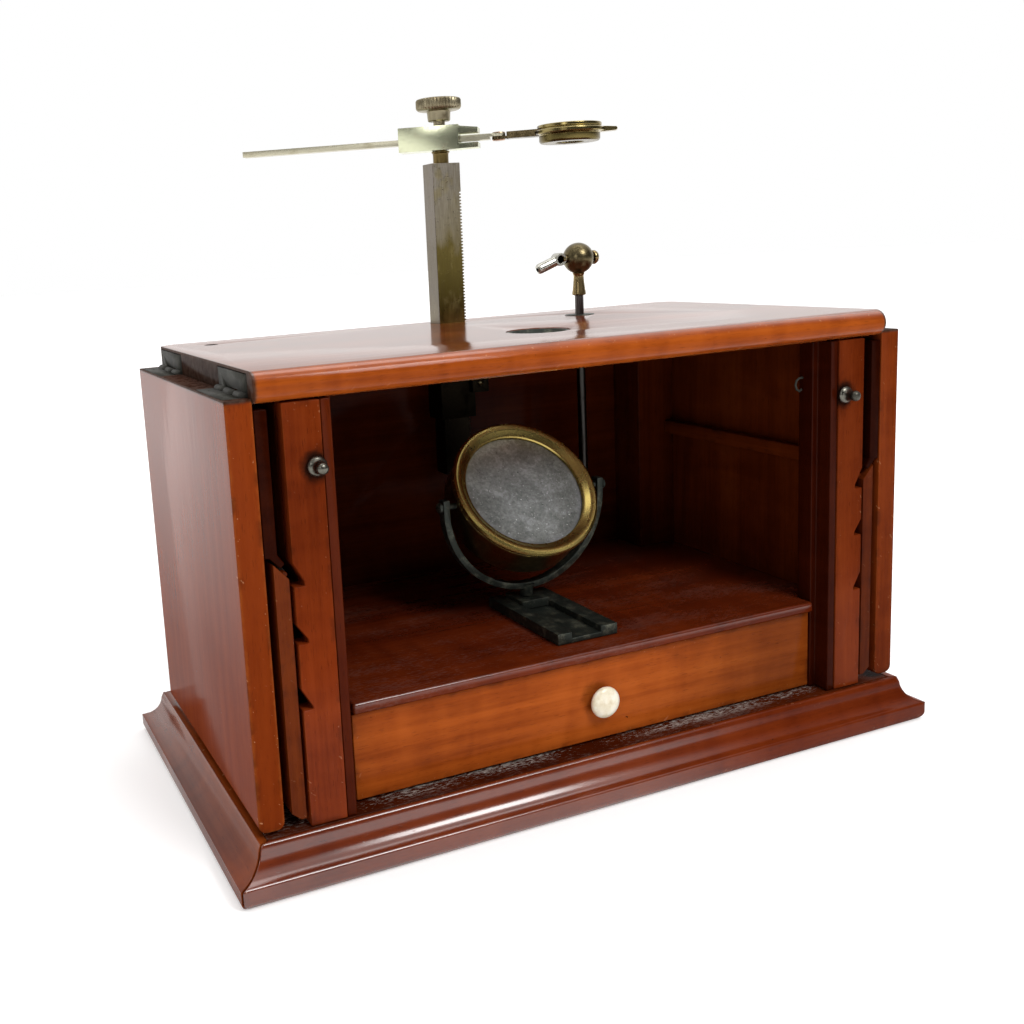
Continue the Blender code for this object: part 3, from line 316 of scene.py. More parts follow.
def brass(name, bright, darkening, rough, *, seed, brushed=None, amount=0.5, spots=1.0, mottled=0.5):
    """Old lacquered brass, with brushing along an axis, patches of tarnish, dark spots and a fine mottle."""
    g = Graph(name)
    moved = g.vector("ADD", g.place, (seed * 0.11, seed * 0.07, seed * 0.19))
    cloud = g.noise(moved, 75, 4, 0.6, 0.5)
    patch = g.step(cloud, 0.62 - 0.3 * amount, 0.8 - 0.3 * amount)
    mottle = g.noise(moved, 600, 3, 0.7)
    colour = g.mix(g.math("MULTIPLY", patch, 0.8), bright, darkening)
    colour = g.mix(g.step(mottle, 0.52, 0.75, 0.0, mottled), colour, tuple(0.55 * c for c in darkening))
    dark = g.step(g.noise(moved, 420, 2, 0.7), 0.7, 0.76, 0.0, spots)
    colour = g.mix(dark, colour, (0.05, 0.035, 0.015))
    height = g.math("MULTIPLY_ADD", mottle, 0.3, g.math("MULTIPLY", dark, -0.6))
    if brushed:
        lines = g.noise(g.stretched(brushed, 0.02), 3500, 3, 0.7)
        height = g.math("MULTIPLY_ADD", lines, 0.5, height)
        colour = g.mix(g.step(lines, 0.35, 0.65, 0.25, 0.0), colour, tuple(0.6 * c for c in darkening))
    spread = g.math("MULTIPLY_ADD", mottle, 0.4 * mottled, rough - 0.2 * mottled)
    roughness = g.math("MULTIPLY_ADD", patch, 0.32 * mottled, spread)
    return g.set(colour=colour, metal=1.0, rough=roughness, normal=g.bump(height, 0.5 * mottled, 0.0002))


def pillar_brass():
    """The rack bar: greyed at the top, olive in the middle and golden where it slides in the case; painted near-black
    below the top board and darker and greyer on its left face, as painted shade.
    """
    g = Graph("pillar_brass")
    x, _, z = g.split(g.place)
    wobble = g.math("MULTIPLY_ADD", g.noise(g.stretched("z", 0.35), 90, 3, 0.6), 0.05, z)
    colour = g.ramp(g.step(wobble, 0.2, 0.305), [
        (0.0, (0.8, 0.64, 0.26)), (0.14, (0.5, 0.39, 0.12)), (0.32, (0.14, 0.11, 0.026)),
        (0.66, (0.2, 0.155, 0.045)), (0.8, (0.38, 0.33, 0.23)), (1.0, (0.46, 0.41, 0.34))])
    patch = g.step(g.noise(g.stretched("z", 0.5), 120, 3, 0.6), 0.52, 0.66)
    colour = g.mix(g.math("MULTIPLY", patch, 0.5), colour, (0.42, 0.34, 0.14))
    # painted shade: the left face darker and greyer
    colour = g.mix(g.step(x, -0.0067, -0.0064, 0.85, 0.0), colour, (0.16, 0.14, 0.125))
    colour = g.mix(g.step(z, 0.2808, 0.2812), colour, (0.17, 0.12, 0.045))
    lines = g.noise(g.stretched("z", 0.06), 1500, 3, 0.7)
    colour = g.mix(g.step(lines, 0.4, 0.7, 0.3, 0.0), colour, (0.12, 0.09, 0.035))
    mottle = g.noise(g.place, 500, 3, 0.7)
    dark = g.step(g.noise(g.place, 260, 3, 0.75), 0.66, 0.74)
    colour = g.mix(dark, colour, (0.06, 0.045, 0.02))
    # painted shade: near-black below the top board, inside the case
    colour = g.mix(g.step(z, 0.184, 0.196, 1.0, 0.0), colour, (0.006, 0.0045, 0.003))
    height = g.math("MULTIPLY_ADD", lines, 0.6, g.math("MULTIPLY", mottle, 0.3))
    rough = g.math("MULTIPLY_ADD", mottle, 0.22, 0.2)
    return g.set(colour=colour, metal=1.0, rough=rough, normal=g.bump(height, 0.3, 0.00025))


def blackened():
    """Blackened brass, rubbed to dull metal in spots."""
    g = Graph("black_brass_rubbed")
    cloud = g.noise(g.place, 160, 4, 0.65)
    grit = g.noise(g.place, 1300, 3, 0.7)
    worn = g.step(g.math("MULTIPLY_ADD", grit, 0.4, cloud), 0.66, 0.96, 0.0, 0.8)
    colour = g.mix(worn, (0.028, 0.033, 0.027), (0.19, 0.19, 0.14))
    colour = g.mix(g.step(grit, 0.5, 0.8, 0.0, 0.6), colour, (0.05, 0.06, 0.055))
    return g.set(colour=colour, metal=0.7, rough=g.math("MULTIPLY_ADD", grit, 0.3, 0.32),
                 normal=g.bump(g.math("MULTIPLY_ADD", cloud, 0.5, grit), 0.4, 0.0003))


def dull_brass():
    """The hinges' dark unpolished brass."""
    g = Graph("dull_brass_leaf")
    cloud = g.noise(g.place, 210, 4, 0.65)
    grit = g.noise(g.place, 1500, 3, 0.7)
    colour = g.ramp(g.math("MULTIPLY_ADD", grit, 0.35, g.math("MULTIPLY", cloud, 0.65)), [
        (0.3, (0.01, 0.009, 0.007)), (0.5, (0.028, 0.027, 0.021)), (0.7, (0.07, 0.068, 0.055))])
    return g.set(colour=colour, metal=0.3, specular=0.3, rough=g.math("MULTIPLY_ADD", grit, 0.3, 0.5),
                 normal=g.bump(grit, 0.5, 0.0003))


def steel():
    """The pin's dark steel, drawn lengthways, rusted in places and painted darker below the top, as painted shade
    inside the case.
    """
    g = Graph("pin_steel")
    lines = g.noise(g.stretched("z", 0.02), 3000, 3, 0.7)
    rust = g.step(g.noise(g.place, 180, 4, 0.7), 0.55, 0.7)
    colour = g.mix(g.math("MULTIPLY", rust, 0.6), (0.17, 0.16, 0.155), (0.09, 0.06, 0.04))
    colour = g.mix(g.step(lines, 0.4, 0.7, 0.4, 0.0), colour, (0.05, 0.045, 0.04))
    # painted shade: darker below the top board, inside the case
    colour = g.mix(g.step(g.coordinate("z"), 0.18, 0.196, 0.85, 0.0), colour, (0.02, 0.018, 0.016))
    return g.set(colour=colour, metal=1.0, rough=g.math("MULTIPLY_ADD", rust, 0.3, 0.3),
                 normal=g.bump(lines, 0.3, 0.0002))


def ivory():
    """Turned bone: warm white, with faint rings, fine dark lines and yellowed patches."""
    g = Graph("ivory")
    cloud = g.noise(g.place, 220, 3, 0.6)
    lines = g.noise(g.stretched("x", 0.08, 1.0), 1500, 3, 0.6)
    colour = g.ramp(cloud, [(0.3, (0.72, 0.62, 0.42)), (0.55, (0.88, 0.82, 0.66)), (0.75, (0.93, 0.89, 0.78))])
    colour = g.mix(g.step(lines, 0.6, 0.75, 0.0, 0.35), colour, (0.5, 0.36, 0.2))
    return g.set(colour=colour, rough=0.3, coat=0.5, coat_rough=0.08, subsurface=0.15, radius=(1.0, 0.7, 0.4),
                 depth=0.002, normal=g.bump(lines, 0.15, 0.0002))


def old_mirror(low, high):
    """Silvering gone to a mottled grey under the glass, with dark and pale specks and a paler rim."""
    g = Graph("old_mirror")
    middle = (low + high) / 2
    cloud = g.noise(g.place, 95, 5, 0.65, 0.6)
    grain = g.noise(g.place, 620, 4, 0.75)
    value = g.math("MULTIPLY_ADD", grain, 0.5, g.math("MULTIPLY", cloud, 0.5))
    colour = g.ramp(value, [(0.36, (0.12, 0.125, 0.12)), (0.5, (0.215, 0.222, 0.215)), (0.62, (0.34, 0.348, 0.352))])
    # painted light and shade: the silvering darkened to 0.85 low down and lightened up to three times towards the
    # top, against the shade of the top board above
    colour = g.times(colour, g.step(g.coordinate("z"), 0.118, 0.148, 0.85, 3.0))
    specks = g.step(g.noise(g.place, 900, 2, 0.7), 0.67, 0.71)
    colour = g.mix(specks, colour, (0.75, 0.74, 0.75))
    pits = g.step(g.noise(g.place, 480, 3, 0.7), 0.66, 0.72)
    colour = g.mix(g.math("MULTIPLY", pits, 0.8), colour, (0.05, 0.05, 0.052))
    rubbed = g.noise(g.place, 1500, 3, 0.75)
    corner = g.step(g.coordinate("x"), -0.002, 0.022)
    colour = g.mix(g.math("MULTIPLY", corner, g.step(rubbed, 0.55, 0.66, 0.0, 0.7)), colour, (0.07, 0.07, 0.066))
    radius = g.length(g.vector("SUBTRACT", g.place, middle))
    rim = g.step(g.math("MULTIPLY_ADD", cloud, 0.006, radius), 0.0285, 0.0335)
    colour = g.mix(g.math("MULTIPLY", rim, 0.35), colour, (0.5, 0.5, 0.55))
    return g.set(colour=colour, metal=0.05, rough=g.math("MULTIPLY_ADD", grain, 0.3, 0.5), coat=0.12,
                 coat_rough=0.25, specular=0.2, normal=g.bump(value, 0.4, 0.0003))


def lens_glass():
    """Clear glass with a slight haze."""
    g = Graph("lens_glass")
    haze = g.noise(g.place, 300, 3, 0.6)
    return g.set(colour=g.mix(haze, (0.9, 0.95, 0.94), (0.98, 1.0, 0.99)), rough=g.step(haze, 0.5, 0.8, 0.0, 0.06),
                 glassy=1.0, ior=1.52)


# ---------------------------------------------------------------- shape helpers

def new_object(name, data):
    obj = bpy.data.objects.new(name, data)
    bpy.context.scene.collection.objects.link(obj)
    return obj


def new_mesh(name, shape):
    """A mesh made from a bmesh, which it uses up."""
    mesh = bpy.data.meshes.new(name)
    shape.to_mesh(mesh)
    shape.free()
    return mesh


def piece(name, shape, body, material, smooth=35):
    """A new piece, made from a bmesh in the frame's coordinates, that rides on a body."""
    bmesh.ops.remove_doubles(shape, verts=shape.verts, dist=1e-6)
    bmesh.ops.recalc_face_normals(shape, faces=shape.faces)
    mesh = new_mesh(name, shape)
    mesh.materials.append(material)
    mesh.shade_smooth()
    mesh.set_sharp_from_angle(angle=math.radians(smooth))
    obj = new_object(name, mesh)
    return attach(obj, body)


def lathe(shape, profile, place, segments=64, radius=None):
    """Turns (radius, height) points in millimetres about the place's Z axis.

    radius, if given, is called with the point's number, its radius and the segment's number, and returns a radius.
    """
    rings = []
    for index, (r, z) in enumerate(profile):
        if r <= 1e-6:
            rings.append([shape.verts.new(place @ Vector((0, 0, z * MM)))])
            continue
        ring = []
        for i in range(segments):
            angle = 2 * math.pi * i / segments
            size = radius(index, r, i) if radius else r
            point = Vector((size * math.cos(angle) * MM, size * math.sin(angle) * MM, z * MM))
            ring.append(shape.verts.new(place @ point))
        rings.append(ring)
    for a, b in zip(rings, rings[1:]):
        for i in range(segments):
            j = (i + 1) % segments
            corners = [a[i % len(a)], a[j % len(a)], b[j % len(b)], b[i % len(b)]]
            unique = []
            for corner in corners:
                if corner not in unique:
                    unique.append(corner)
            if len(unique) > 2:
                shape.faces.new(unique)


def closed_lathe(shape, profile, place, segments):
    """A ring: the profile's last point joins its first."""
    lathe(shape, profile + [profile[0]], place, segments)


def prism(shape, points, low, high, place):
    """A flat outline in the place's XY plane, raised from low to high along its Z, in millimetres."""
    bottom = [shape.verts.new(place @ Vector((x * MM, y * MM, low * MM))) for x, y in points]
    top = [shape.verts.new(place @ Vector((x * MM, y * MM, high * MM))) for x, y in points]
    shape.faces.new(bottom[::-1])
    shape.faces.new(top)
    for i in range(len(points)):
        j = (i + 1) % len(points)
        shape.faces.new([bottom[i], bottom[j], top[j], top[i]])


def circle(x, y, radius, count):
    angles = [math.radians(360 * i / count) for i in range(count)]
    return [(x + radius * math.cos(angle), y + radius * math.sin(angle)) for angle in angles]


def translation(x, y, z):
    """A move in millimetres."""
    return Matrix.Translation((x * MM, y * MM, z * MM))


def at(x, y, z, axis="z"):
    """A place in millimetres whose Z axis points along x, y, z, -x or -y."""
    facing = {"z": (0, 0, 1), "x": (1, 0, 0), "-x": (-1, 0, 0), "y": (0, 1, 0), "-y": (0, -1, 0)}
    return translation(x, y, z) @ Vector(facing[axis]).to_track_quat("Z", "Y").to_matrix().to_4x4()


def weld(obj):
    obj.modifiers.new("weld", "WELD").merge_threshold = WELD_DISTANCE


def bevel(obj, width, segments, angle, harden=True):
    """Rounds the arrises that are sharper than an angle in degrees."""
    edges = obj.modifiers.new("edges", "BEVEL")
    edges.width = width * MM
    edges.segments = segments
    edges.limit_method = "ANGLE"
    edges.angle_limit = math.radians(angle)
    edges.harden_normals = harden


def soften(node, width, segments=3, angle=32):
    """Rounds a CAD node's arrises."""
    obj = NODES[node]
    weld(obj)
    flat = obj.modifiers.new("flat", "DECIMATE")
    flat.decimate_type = "DISSOLVE"
    flat.angle_limit = math.radians(0.8)
    bevel(obj, width, segments, angle)
    smooth_node(obj)


def smooth_node(obj):
    for polygon in obj.data.polygons:
        polygon.use_smooth = True


def rounded(node, smooth=35):
    """Smooth shading for a turned CAD node."""
    obj = NODES[node]
    weld(obj)
    smooth_node(obj)
    obj.data.set_sharp_from_angle(angle=math.radians(smooth))


def paint(material, *nodes):
    """Gives CAD nodes a material."""
    for node in nodes:
        obj = NODES[node]
        obj.data.materials.clear()
        obj.data.materials.append(material)


# ---------------------------------------------------------------- case

# the way each board's grain runs
GRAIN = {
    "base_board": "x", "plinth_front": "x", "plinth_back": "x", "plinth_left": "y", "plinth_right": "y",
    "post_left": "z", "post_right": "z", "side_panel_left": "z", "side_panel_right": "z", "back_panel": "x",
    "back_post_left": "z", "back_post_right": "z", "side_rail_left": "y", "side_rail_right": "y", "shelf": "x",
    "jamb_left": "z", "jamb_right": "z", "top_board": "x", "flap_left": "z", "flap_right": "z",
    "batten_left": "y", "batten_right": "y", "strut_left": "z", "strut_right": "z", "drawer_front": "x",
}
# tone, gloss and edge wear of each board; the low tones inside the case (back panel, side panels, back posts, side
# rails, shelf) and of the battens, struts and jambs are painted shade
LOOK = {
    "top_board": (0.96, 1.0, 1.0), "drawer_front": (0.98, 0.1, 0.35), "base_board": (0.16, 0.06, 0.2),
    "shelf": (0.36, 0.5, 0.0), "plinth_front": (0.42, 1.0, 0.4), "plinth_left": (0.42, 0.6, 0.5),
    "plinth_right": (0.42, 0.5, 0.5), "plinth_back": (0.42, 0.5, 0.5), "back_panel": (0.2, 0.04, 0.0),
    "side_panel_left": (0.2, 0.05, 0.0), "side_panel_right": (0.29, 0.05, 0.0), "back_post_left": (0.2, 0.05, 0.0),
    "back_post_right": (0.22, 0.05, 0.0), "flap_left": (0.6, 0.62, 0.8), "flap_right": (0.46, 0.06, 0.4),
    "post_left": (0.5, 0.08, 0.3), "post_right": (0.38, 0.08, 0.25), "jamb_left": (0.17, 0.08, 0.0),
    "jamb_right": (0.11, 0.08, 0.0), "batten_left": (0.07, 0.04, 0.0), "batten_right": (0.05, 0.04, 0.0),
    "strut_left": (0.34, 0.1, 0.15), "strut_right": (0.24, 0.08, 0.1), "side_rail_left": (0.3, 0.05, 0.0),
    "side_rail_right": (0.27, 0.05, 0.0),
}
# how much redder the darker boards are
RICH = {"post_left": 1.48, "post_right": 1.32, "flap_left": 1.4, "flap_right": 1.25, "plinth_front": 1.35,
        "plinth_right": 1.35, "jamb_left": 1.25, "jamb_right": 1.2, "shelf": 1.35}
# the polish's roughness and refractive index, where a board's differ from the others'
COAT_ROUGH = {"plinth_front": 0.18, "shelf": 0.2}
COAT_IOR = {"plinth_front": 1.8, "top_board": 1.62, "shelf": 1.6}
# painted light and shade: colour levels along an axis, the top's rounded front edge lighter than its face, the drawer
# darker to the right and the posts darker at the top, under the top board; an axis, a start and an end along it in
# metres, and the level at each
SHADE = {
    "top_board": ("y", -0.083, -0.0795, 0.93, 0.5), "drawer_front": ("x", 0.01, 0.1, 1.0, 0.52),
    "post_left": ("z", 0.07, 0.14, 1.0, 0.72), "post_right": ("z", 0.06, 0.13, 1.0, 0.8),
}
# polish levels, in the same order, which multiply each other
POLISH = {
    "top_board": [("y", -0.0857, -0.083, 0.06, 1.0), ("x", -0.1499, -0.1493, 0.12, 1.0),
                  ("x", 0.1493, 0.1499, 1.0, 0.4)],
    "shelf": [("z", 0.0615, 0.0634, 0.15, 1.0), ("y", -0.0768, -0.0754, 2.0, 1.0)],
    "plinth_front": [("x", -0.01, 0.09, 1.0, 0.15)],
    "flap_left": [("y", -0.0826, -0.0818, 0.05, 1.0), ("z", 0.05, 0.19, 0.35, 1.0), ("z", 0.1892, 0.1901, 1.0, 0.2)],
    "post_left": [("z", 0.05, 0.09, 2.0, 0.25)], "post_right": [("z", 0.05, 0.09, 1.5, 0.3)],
}
# dark marks: x, y, z, radius in millimetres, and strength
MARKS = {
    # round the drawer's knob: a stain and the knob's painted shadow
    "drawer_front": [(-3.5, -74, 42, 10.0, 0.4)],
    # the top board's marks: a dark disc over the small hole at the back left, painted shade in its bore and darker
    # round it, and painted shade inside the stage hole
    "top_board": [(-129, 54, None, 3.1, 1.0), (1, -28.5, 192, 15.2, 0.95)],
    "post_left": [(-127.7, -83.4, 163, 9.0, 0.9)], "post_right": [(127.7, -83.4, 163, 9.0, 0.9)],
}
# a dirty face: an axis, and how far out along it the dirt starts and is full, in metres
GRIMY = {"top_board": ("x", 0.1488, 0.1503), "flap_left": ("z", 0.1892, 0.1906), "flap_right": ("z", 0.1892, 0.1906)}
DUSTY = {"base_board": 0.9, "shelf": 0.06}
# the radius of a board's arrises in millimetres
ARRIS = {"flap_left": 1.0, "flap_right": 1.0, "top_board": 0.9, "shelf": 1.3, "plinth_front": 0.9, "plinth_left": 0.9,
         "plinth_right": 0.9, "plinth_back": 0.9}


def build_wood():
    for seed, (node, grain) in enumerate(GRAIN.items()):
        low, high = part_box(node)
        tone, gloss, wear = LOOK[node]
        wood = mahogany(
            "mahogany_" + node, low, high, grain=grain, seed=seed, tone=tone, rich=RICH.get(node, 1.15),
            streaky=0.5 if node == "flap_left" else 1.0, wear=wear, gloss=gloss,
            coat_rough=COAT_ROUGH.get(node, 0.16), coat_ior=COAT_IOR.get(node, 1.5),
            ripple=0.3 if node == "shelf" else 1.0, dusty=DUSTY.get(node, 0.0),
            marks=MARKS.get(node, ()), grimy=GRIMY.get(node), shade=SHADE.get(node), polish=POLISH.get(node, ()))
        paint(wood, node)
        soften(node, ARRIS.get(node, 0.5))
    for node in ("drawer_side_left", "drawer_side_right"):
        paint(raw_wood("raw_" + node, "y"), node)
        soften(node, 0.5)
    for node in ("drawer_back", "drawer_bottom"):
        paint(raw_wood("raw_" + node, "x", 2), node)
        soften(node, 0.4)


# ---------------------------------------------------------------- metalwork

ARM = translation(*PILLAR, ARM_HEIGHT) @ Matrix.Rotation(math.radians(ARM_ANGLE), 4, "Z")


def build_pillar():
    """The rack bar: its right side is cut into teeth over its whole depth."""
    shape = bmesh.new()
    left, tip, root = -6.75, 8.75, 7.85
    front, back = 57.25, 68.75
    foot, head = 120.0, 281.0
    pitch, last_tooth = 1.6, 267
    z = foot + pitch
    teeth = [(tip, foot), (tip, z)]
    while z < last_tooth:
        teeth += [(root, z + 0.15), (root, z + 0.7), (tip, z + 0.9), (tip, z + pitch)]
        z += pitch
    teeth += [(tip, head), (left, head), (left, foot)]
    prism(shape, teeth, -back, -front, UPRIGHT)
    lathe(shape, [(0, 9.5), (2.6, 9.5), (3.0, 9.1), (3.0, 6.2), (4.3, 6.2), (4.6, 5.9), (4.6, 5.5), (4.1, 5.0),
                  (4.0, 4.0), (4.0, -0.5), (0, -0.5)], at(*PILLAR, head), 40)
    bar = piece("rack_pillar", shape, "pillar_body", pillar_brass(), 28)
    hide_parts("pillar")
    bevel(bar, 0.12, 1, 60, harden=False)


def scallops(depth, rows):
    """Coarse milling: the listed profile rows dip in and out, four points to a notch."""
    def radius(index, r, i):
        return r - depth * (0.0, 0.45, 1.0, 0.45)[i % 4] if index in rows else r
    return radius


def build_clamp():
    """The block on the pillar's head and its milled screw."""
    block_brass = brass("block_brass", (0.6, 0.62, 0.43), (0.4, 0.33, 0.22), 0.24, seed=3, amount=0.4, spots=0.6,
                        mottled=0.2)
    paint(block_brass, "clamp_block")
    soften("clamp_block", 0.3, 2)
    shape = bmesh.new()
    profile = [(0, 13.3), (6.2, 13.4), (10.2, 13.6), (11.1, 13.3), (11.5, 12.6), (11.5, 9.3), (11.1, 8.4),
               (10.2, 7.8), (6.6, 7.7), (6.1, 7.3), (5.9, 6.0), (5.7, 2.9), (5.2, 2.4), (3.0, 2.3), (2.9, 0.3),
               (2.0, 0.25), (2.0, -5.2), (0, -5.2)]
    lathe(shape, profile, at(*PILLAR, CLAMP_SCREW_HEIGHT), 160, scallops(0.4, (3, 4, 5, 6)))
    screw_brass = brass("screw_brass", (0.3, 0.26, 0.17), (0.15, 0.12, 0.07), 0.36, seed=6, spots=0.5, mottled=0.3)
    screw = piece("milled_clamp_screw", shape, "screw_body", screw_brass, 38)
    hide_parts("clamp_screw")


def build_arm(pale):
    """The sliding bar, the jointed arm with the lens ring, and the lens."""
    paint(pale, "arm_bar")
    soften("arm_bar", 0.25, 2)
    shape = bmesh.new()
    ring = [(15.6, 3.2), (15.95, 2.9), (16.0, 1.7), (15.6, 1.3), (15.6, 0.8), (17.1, 0.7), (17.5, 0.4), (17.5, -0.9),
            (17.2, -1.3), (15.7, -1.5), (15.1, -1.9), (15.1, -4.4), (14.8, -5.1), (14.2, -5.6),
            (7.4, -5.6), (7.0, -5.3), (7.0, -4.9), (12.8, -4.6), (12.8, 2.0), (13.6, 2.5), (14.0, 3.1)]
    closed_lathe(shape, ring, ARM @ translation(LENS_REACH, 0, 0), 96)
    tapered = [(34.2, -3.2), (36.2, -3.3), (51.0, -4.6), (51.0, 4.6), (36.2, 3.3), (34.2, 3.2)]
    prism(shape, tapered, -1.7, 1.7, ARM)
    prism(shape, [(LENS_JOINT, -3.1), (35, -3.1), (35, 3.1), (LENS_JOINT, 3.1)], -1.7, -0.3, ARM)
    prism(shape, circle(LENS_JOINT, 0, 3.4, 31), -1.7, -0.3, ARM)
    side = [(80.5, -1.7), (84.0, -1.6), (87.8, -1.5), (88.7, -1.1), (88.9, -0.4), (88.4, 0.3), (84.5, 0.7),
            (80.5, 1.0)]
    prism(shape, side, -3.0, 3.0, ARM @ UPRIGHT)
    bright = brass("ring_brass", (0.3, 0.24, 0.1), (0.17, 0.13, 0.05), 0.2, seed=8, spots=0.0, mottled=0.1)
    carrier = piece("lens_ring_and_arm", shape, "lens_body", bright, 28)
    for other in (
            brass("lens_arm_brass", (0.12, 0.09, 0.045), (0.06, 0.045, 0.022), 0.26, seed=13, brushed="x"),
            brass("lens_cup_painted_shade", (0.13, 0.1, 0.035), (0.07, 0.055, 0.018), 0.28, seed=14, spots=0.0, mottled=0.1)):
        carrier.data.materials.append(other)
    # the ring below its flange gets a dark brass: painted shade under the ring
    arm_end, cup_top = 50.5 * MM, -1.8 * MM
    back = ARM.inverted()
    for polygon in carrier.data.polygons:
        centre = back @ polygon.center
        if centre.x < arm_end:
            polygon.material_index = 1
        elif centre.z < cup_top:
            polygon.material_index = 2
    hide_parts("lens_carrier")
    bevel(carrier, 0.2, 2, 40)
    pivot = bmesh.new()
    joint = ARM @ translation(LENS_JOINT, 0, 0)
    lathe(pivot, [(0, 2.1), (2.3, 2.05), (3.2, 1.8), (3.3, 1.5), (1.2, 1.45), (1.2, -1.75), (3.2, -1.8), (3.0, -2.2),
                  (0, -2.3)], joint, 40)
    coppery = brass("coppery_brass", (0.5, 0.3, 0.17), (0.22, 0.12, 0.06), 0.3, seed=9)
    screw = piece("lens_joint_screw", pivot, "lens_body", coppery)
    cut_slot(screw, joint @ translation(0, 0, 2.1), 3.2, 0.5, 0.5)
    paint(lens_glass(), "lens")
    rounded("lens")


def cut_slot(obj, place, radius, width, depth):
    """Cuts a screwdriver slot into a head."""
    cutter = bmesh.new()
    size = Matrix.Diagonal((2.4 * radius * MM, width * MM, 2 * depth * MM, 1))
    bmesh.ops.create_cube(cutter, size=1, matrix=place @ size)
    tool = new_object("slot", new_mesh("slot", cutter))
    boolean = obj.modifiers.new("slot", "BOOLEAN")
    boolean.object = tool
    boolean.operation = "DIFFERENCE"
    world = obj.matrix_world.copy()
    bpy.context.view_layer.update()
    graph = bpy.context.evaluated_depsgraph_get()
    result = bpy.data.meshes.new_from_object(obj.evaluated_get(graph))
    obj.modifiers.clear()
    obj.data = result
    obj.matrix_world = world
    bpy.data.objects.remove(tool)


def screw_head(name, place, radius, body, material, turn):
    """A slotted screw head. Its place is on the surface and faces out."""
    shape = bmesh.new()
    lathe(shape, [(0, 0.45), (radius * 0.6, 0.38), (radius * 0.95, 0.12), (radius, -0.1), (radius * 0.9, -0.5),
                  (0, -0.5)], place, 28)
    obj = piece(name, shape, body, material)
    cut_slot(obj, place @ Matrix.Rotation(turn, 4, "Z") @ translation(0, 0, 0.45), radius, 0.32, 0.5)


def build_pin(metal, old, inside):
    """The pin, its ball and the holder that turns in it."""
    ferrule = bmesh.new()
    place = at(*PIN, 200)
    lathe(ferrule, [(0, 21.2), (1.5, 21.35), (3.0, 21.8), (3.15, 21.5), (2.7, 20.6), (2.65, 19.6), (2.9, 16.5),
                    (3.3, 13.0), (3.6, 11.4), (3.6, 10.7), (3.3, 10.3), (2.4, 10.1), (0, 10.1)], place, 48)
    piece("pin_ferrule", ferrule, "pin_body", metal)
    shaft = bmesh.new()
    lathe(shaft, [(0, 10.0), (2.3, 10.0), (2.3, -84.4), (1.8, -85), (0, -85)], place, 48)
    rod = piece("pin_shaft", shaft, "pin_body", steel())
    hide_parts("pin_rod")
    ball = bmesh.new()
    centre = at(*PIN, BALL_HEIGHT, "x")
    angles = [math.radians(a) for a in range(18, 166, 4)]
    round_part = [(8 * math.sin(a), 8 * math.cos(a)) for a in angles]
    closed_lathe(ball, [(2.3, 7.66), *round_part, (2.3, -7.66)], centre, 64)
    sphere = piece("turned_ball", ball, "ball_body", old, 50)
    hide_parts("pin_ball")
    shape = bmesh.new()
    lathe(shape, [(0, 11.6), (1.8, 11.5), (3.0, 10.9), (3.6, 10.0), (3.65, 9.0), (3.4, 8.5), (2.6, 8.4), (2.0, 8.2),
                  (2.0, -9.0), (2.9, -9.2), (3.0, -10.4), (0, -10.4)], centre, 40)
    holder = piece("holder_spindle", shape, "holder_body", metal)
    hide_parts("tool_holder")
    tube = bmesh.new()
    direction = Vector((-0.94, 0.0, -0.34)).to_track_quat("Z", "Y").to_matrix().to_4x4()
    lie = translation(54.6, PIN[1], 229.7) @ direction
    closed_lathe(tube, [(2.7, 3.5), (2.7, 13.4), (2.4, 14.5), (1.1, 14.8), (1.1, 5.4), (1.7, 4.7), (1.7, 3.5)],
                 lie, 32)
    pale = brass("tube_brass", (0.5, 0.49, 0.44), (0.2, 0.19, 0.16), 0.24, seed=7, amount=0.4)
    piece("holder_tube", tube, "holder_body", pale)
    eye = bmesh.new()
    lathe(eye, [(0, 2.6), (3.1, 2.6), (3.3, 2.3), (3.3, -2.4), (3.1, -2.7), (2.2, -2.7), (1.9, -2.4), (1.9, 1.2),
                (0, 1.2)], at(EYE_X, PIN[1], BALL_HEIGHT, "y"), 40)
    ring = piece("holder_eye", eye, "holder_body", pale)
    # the eye's hole gets the near-black brass: painted shade in the hole
    ring.data.materials.append(inside)
    hole_radius = 2.0 * MM
    for polygon in ring.data.polygons:
        if math.hypot(polygon.center.x - EYE_X * MM, polygon.center.z - BALL_HEIGHT * MM) < hole_radius:
            polygon.material_index = 1


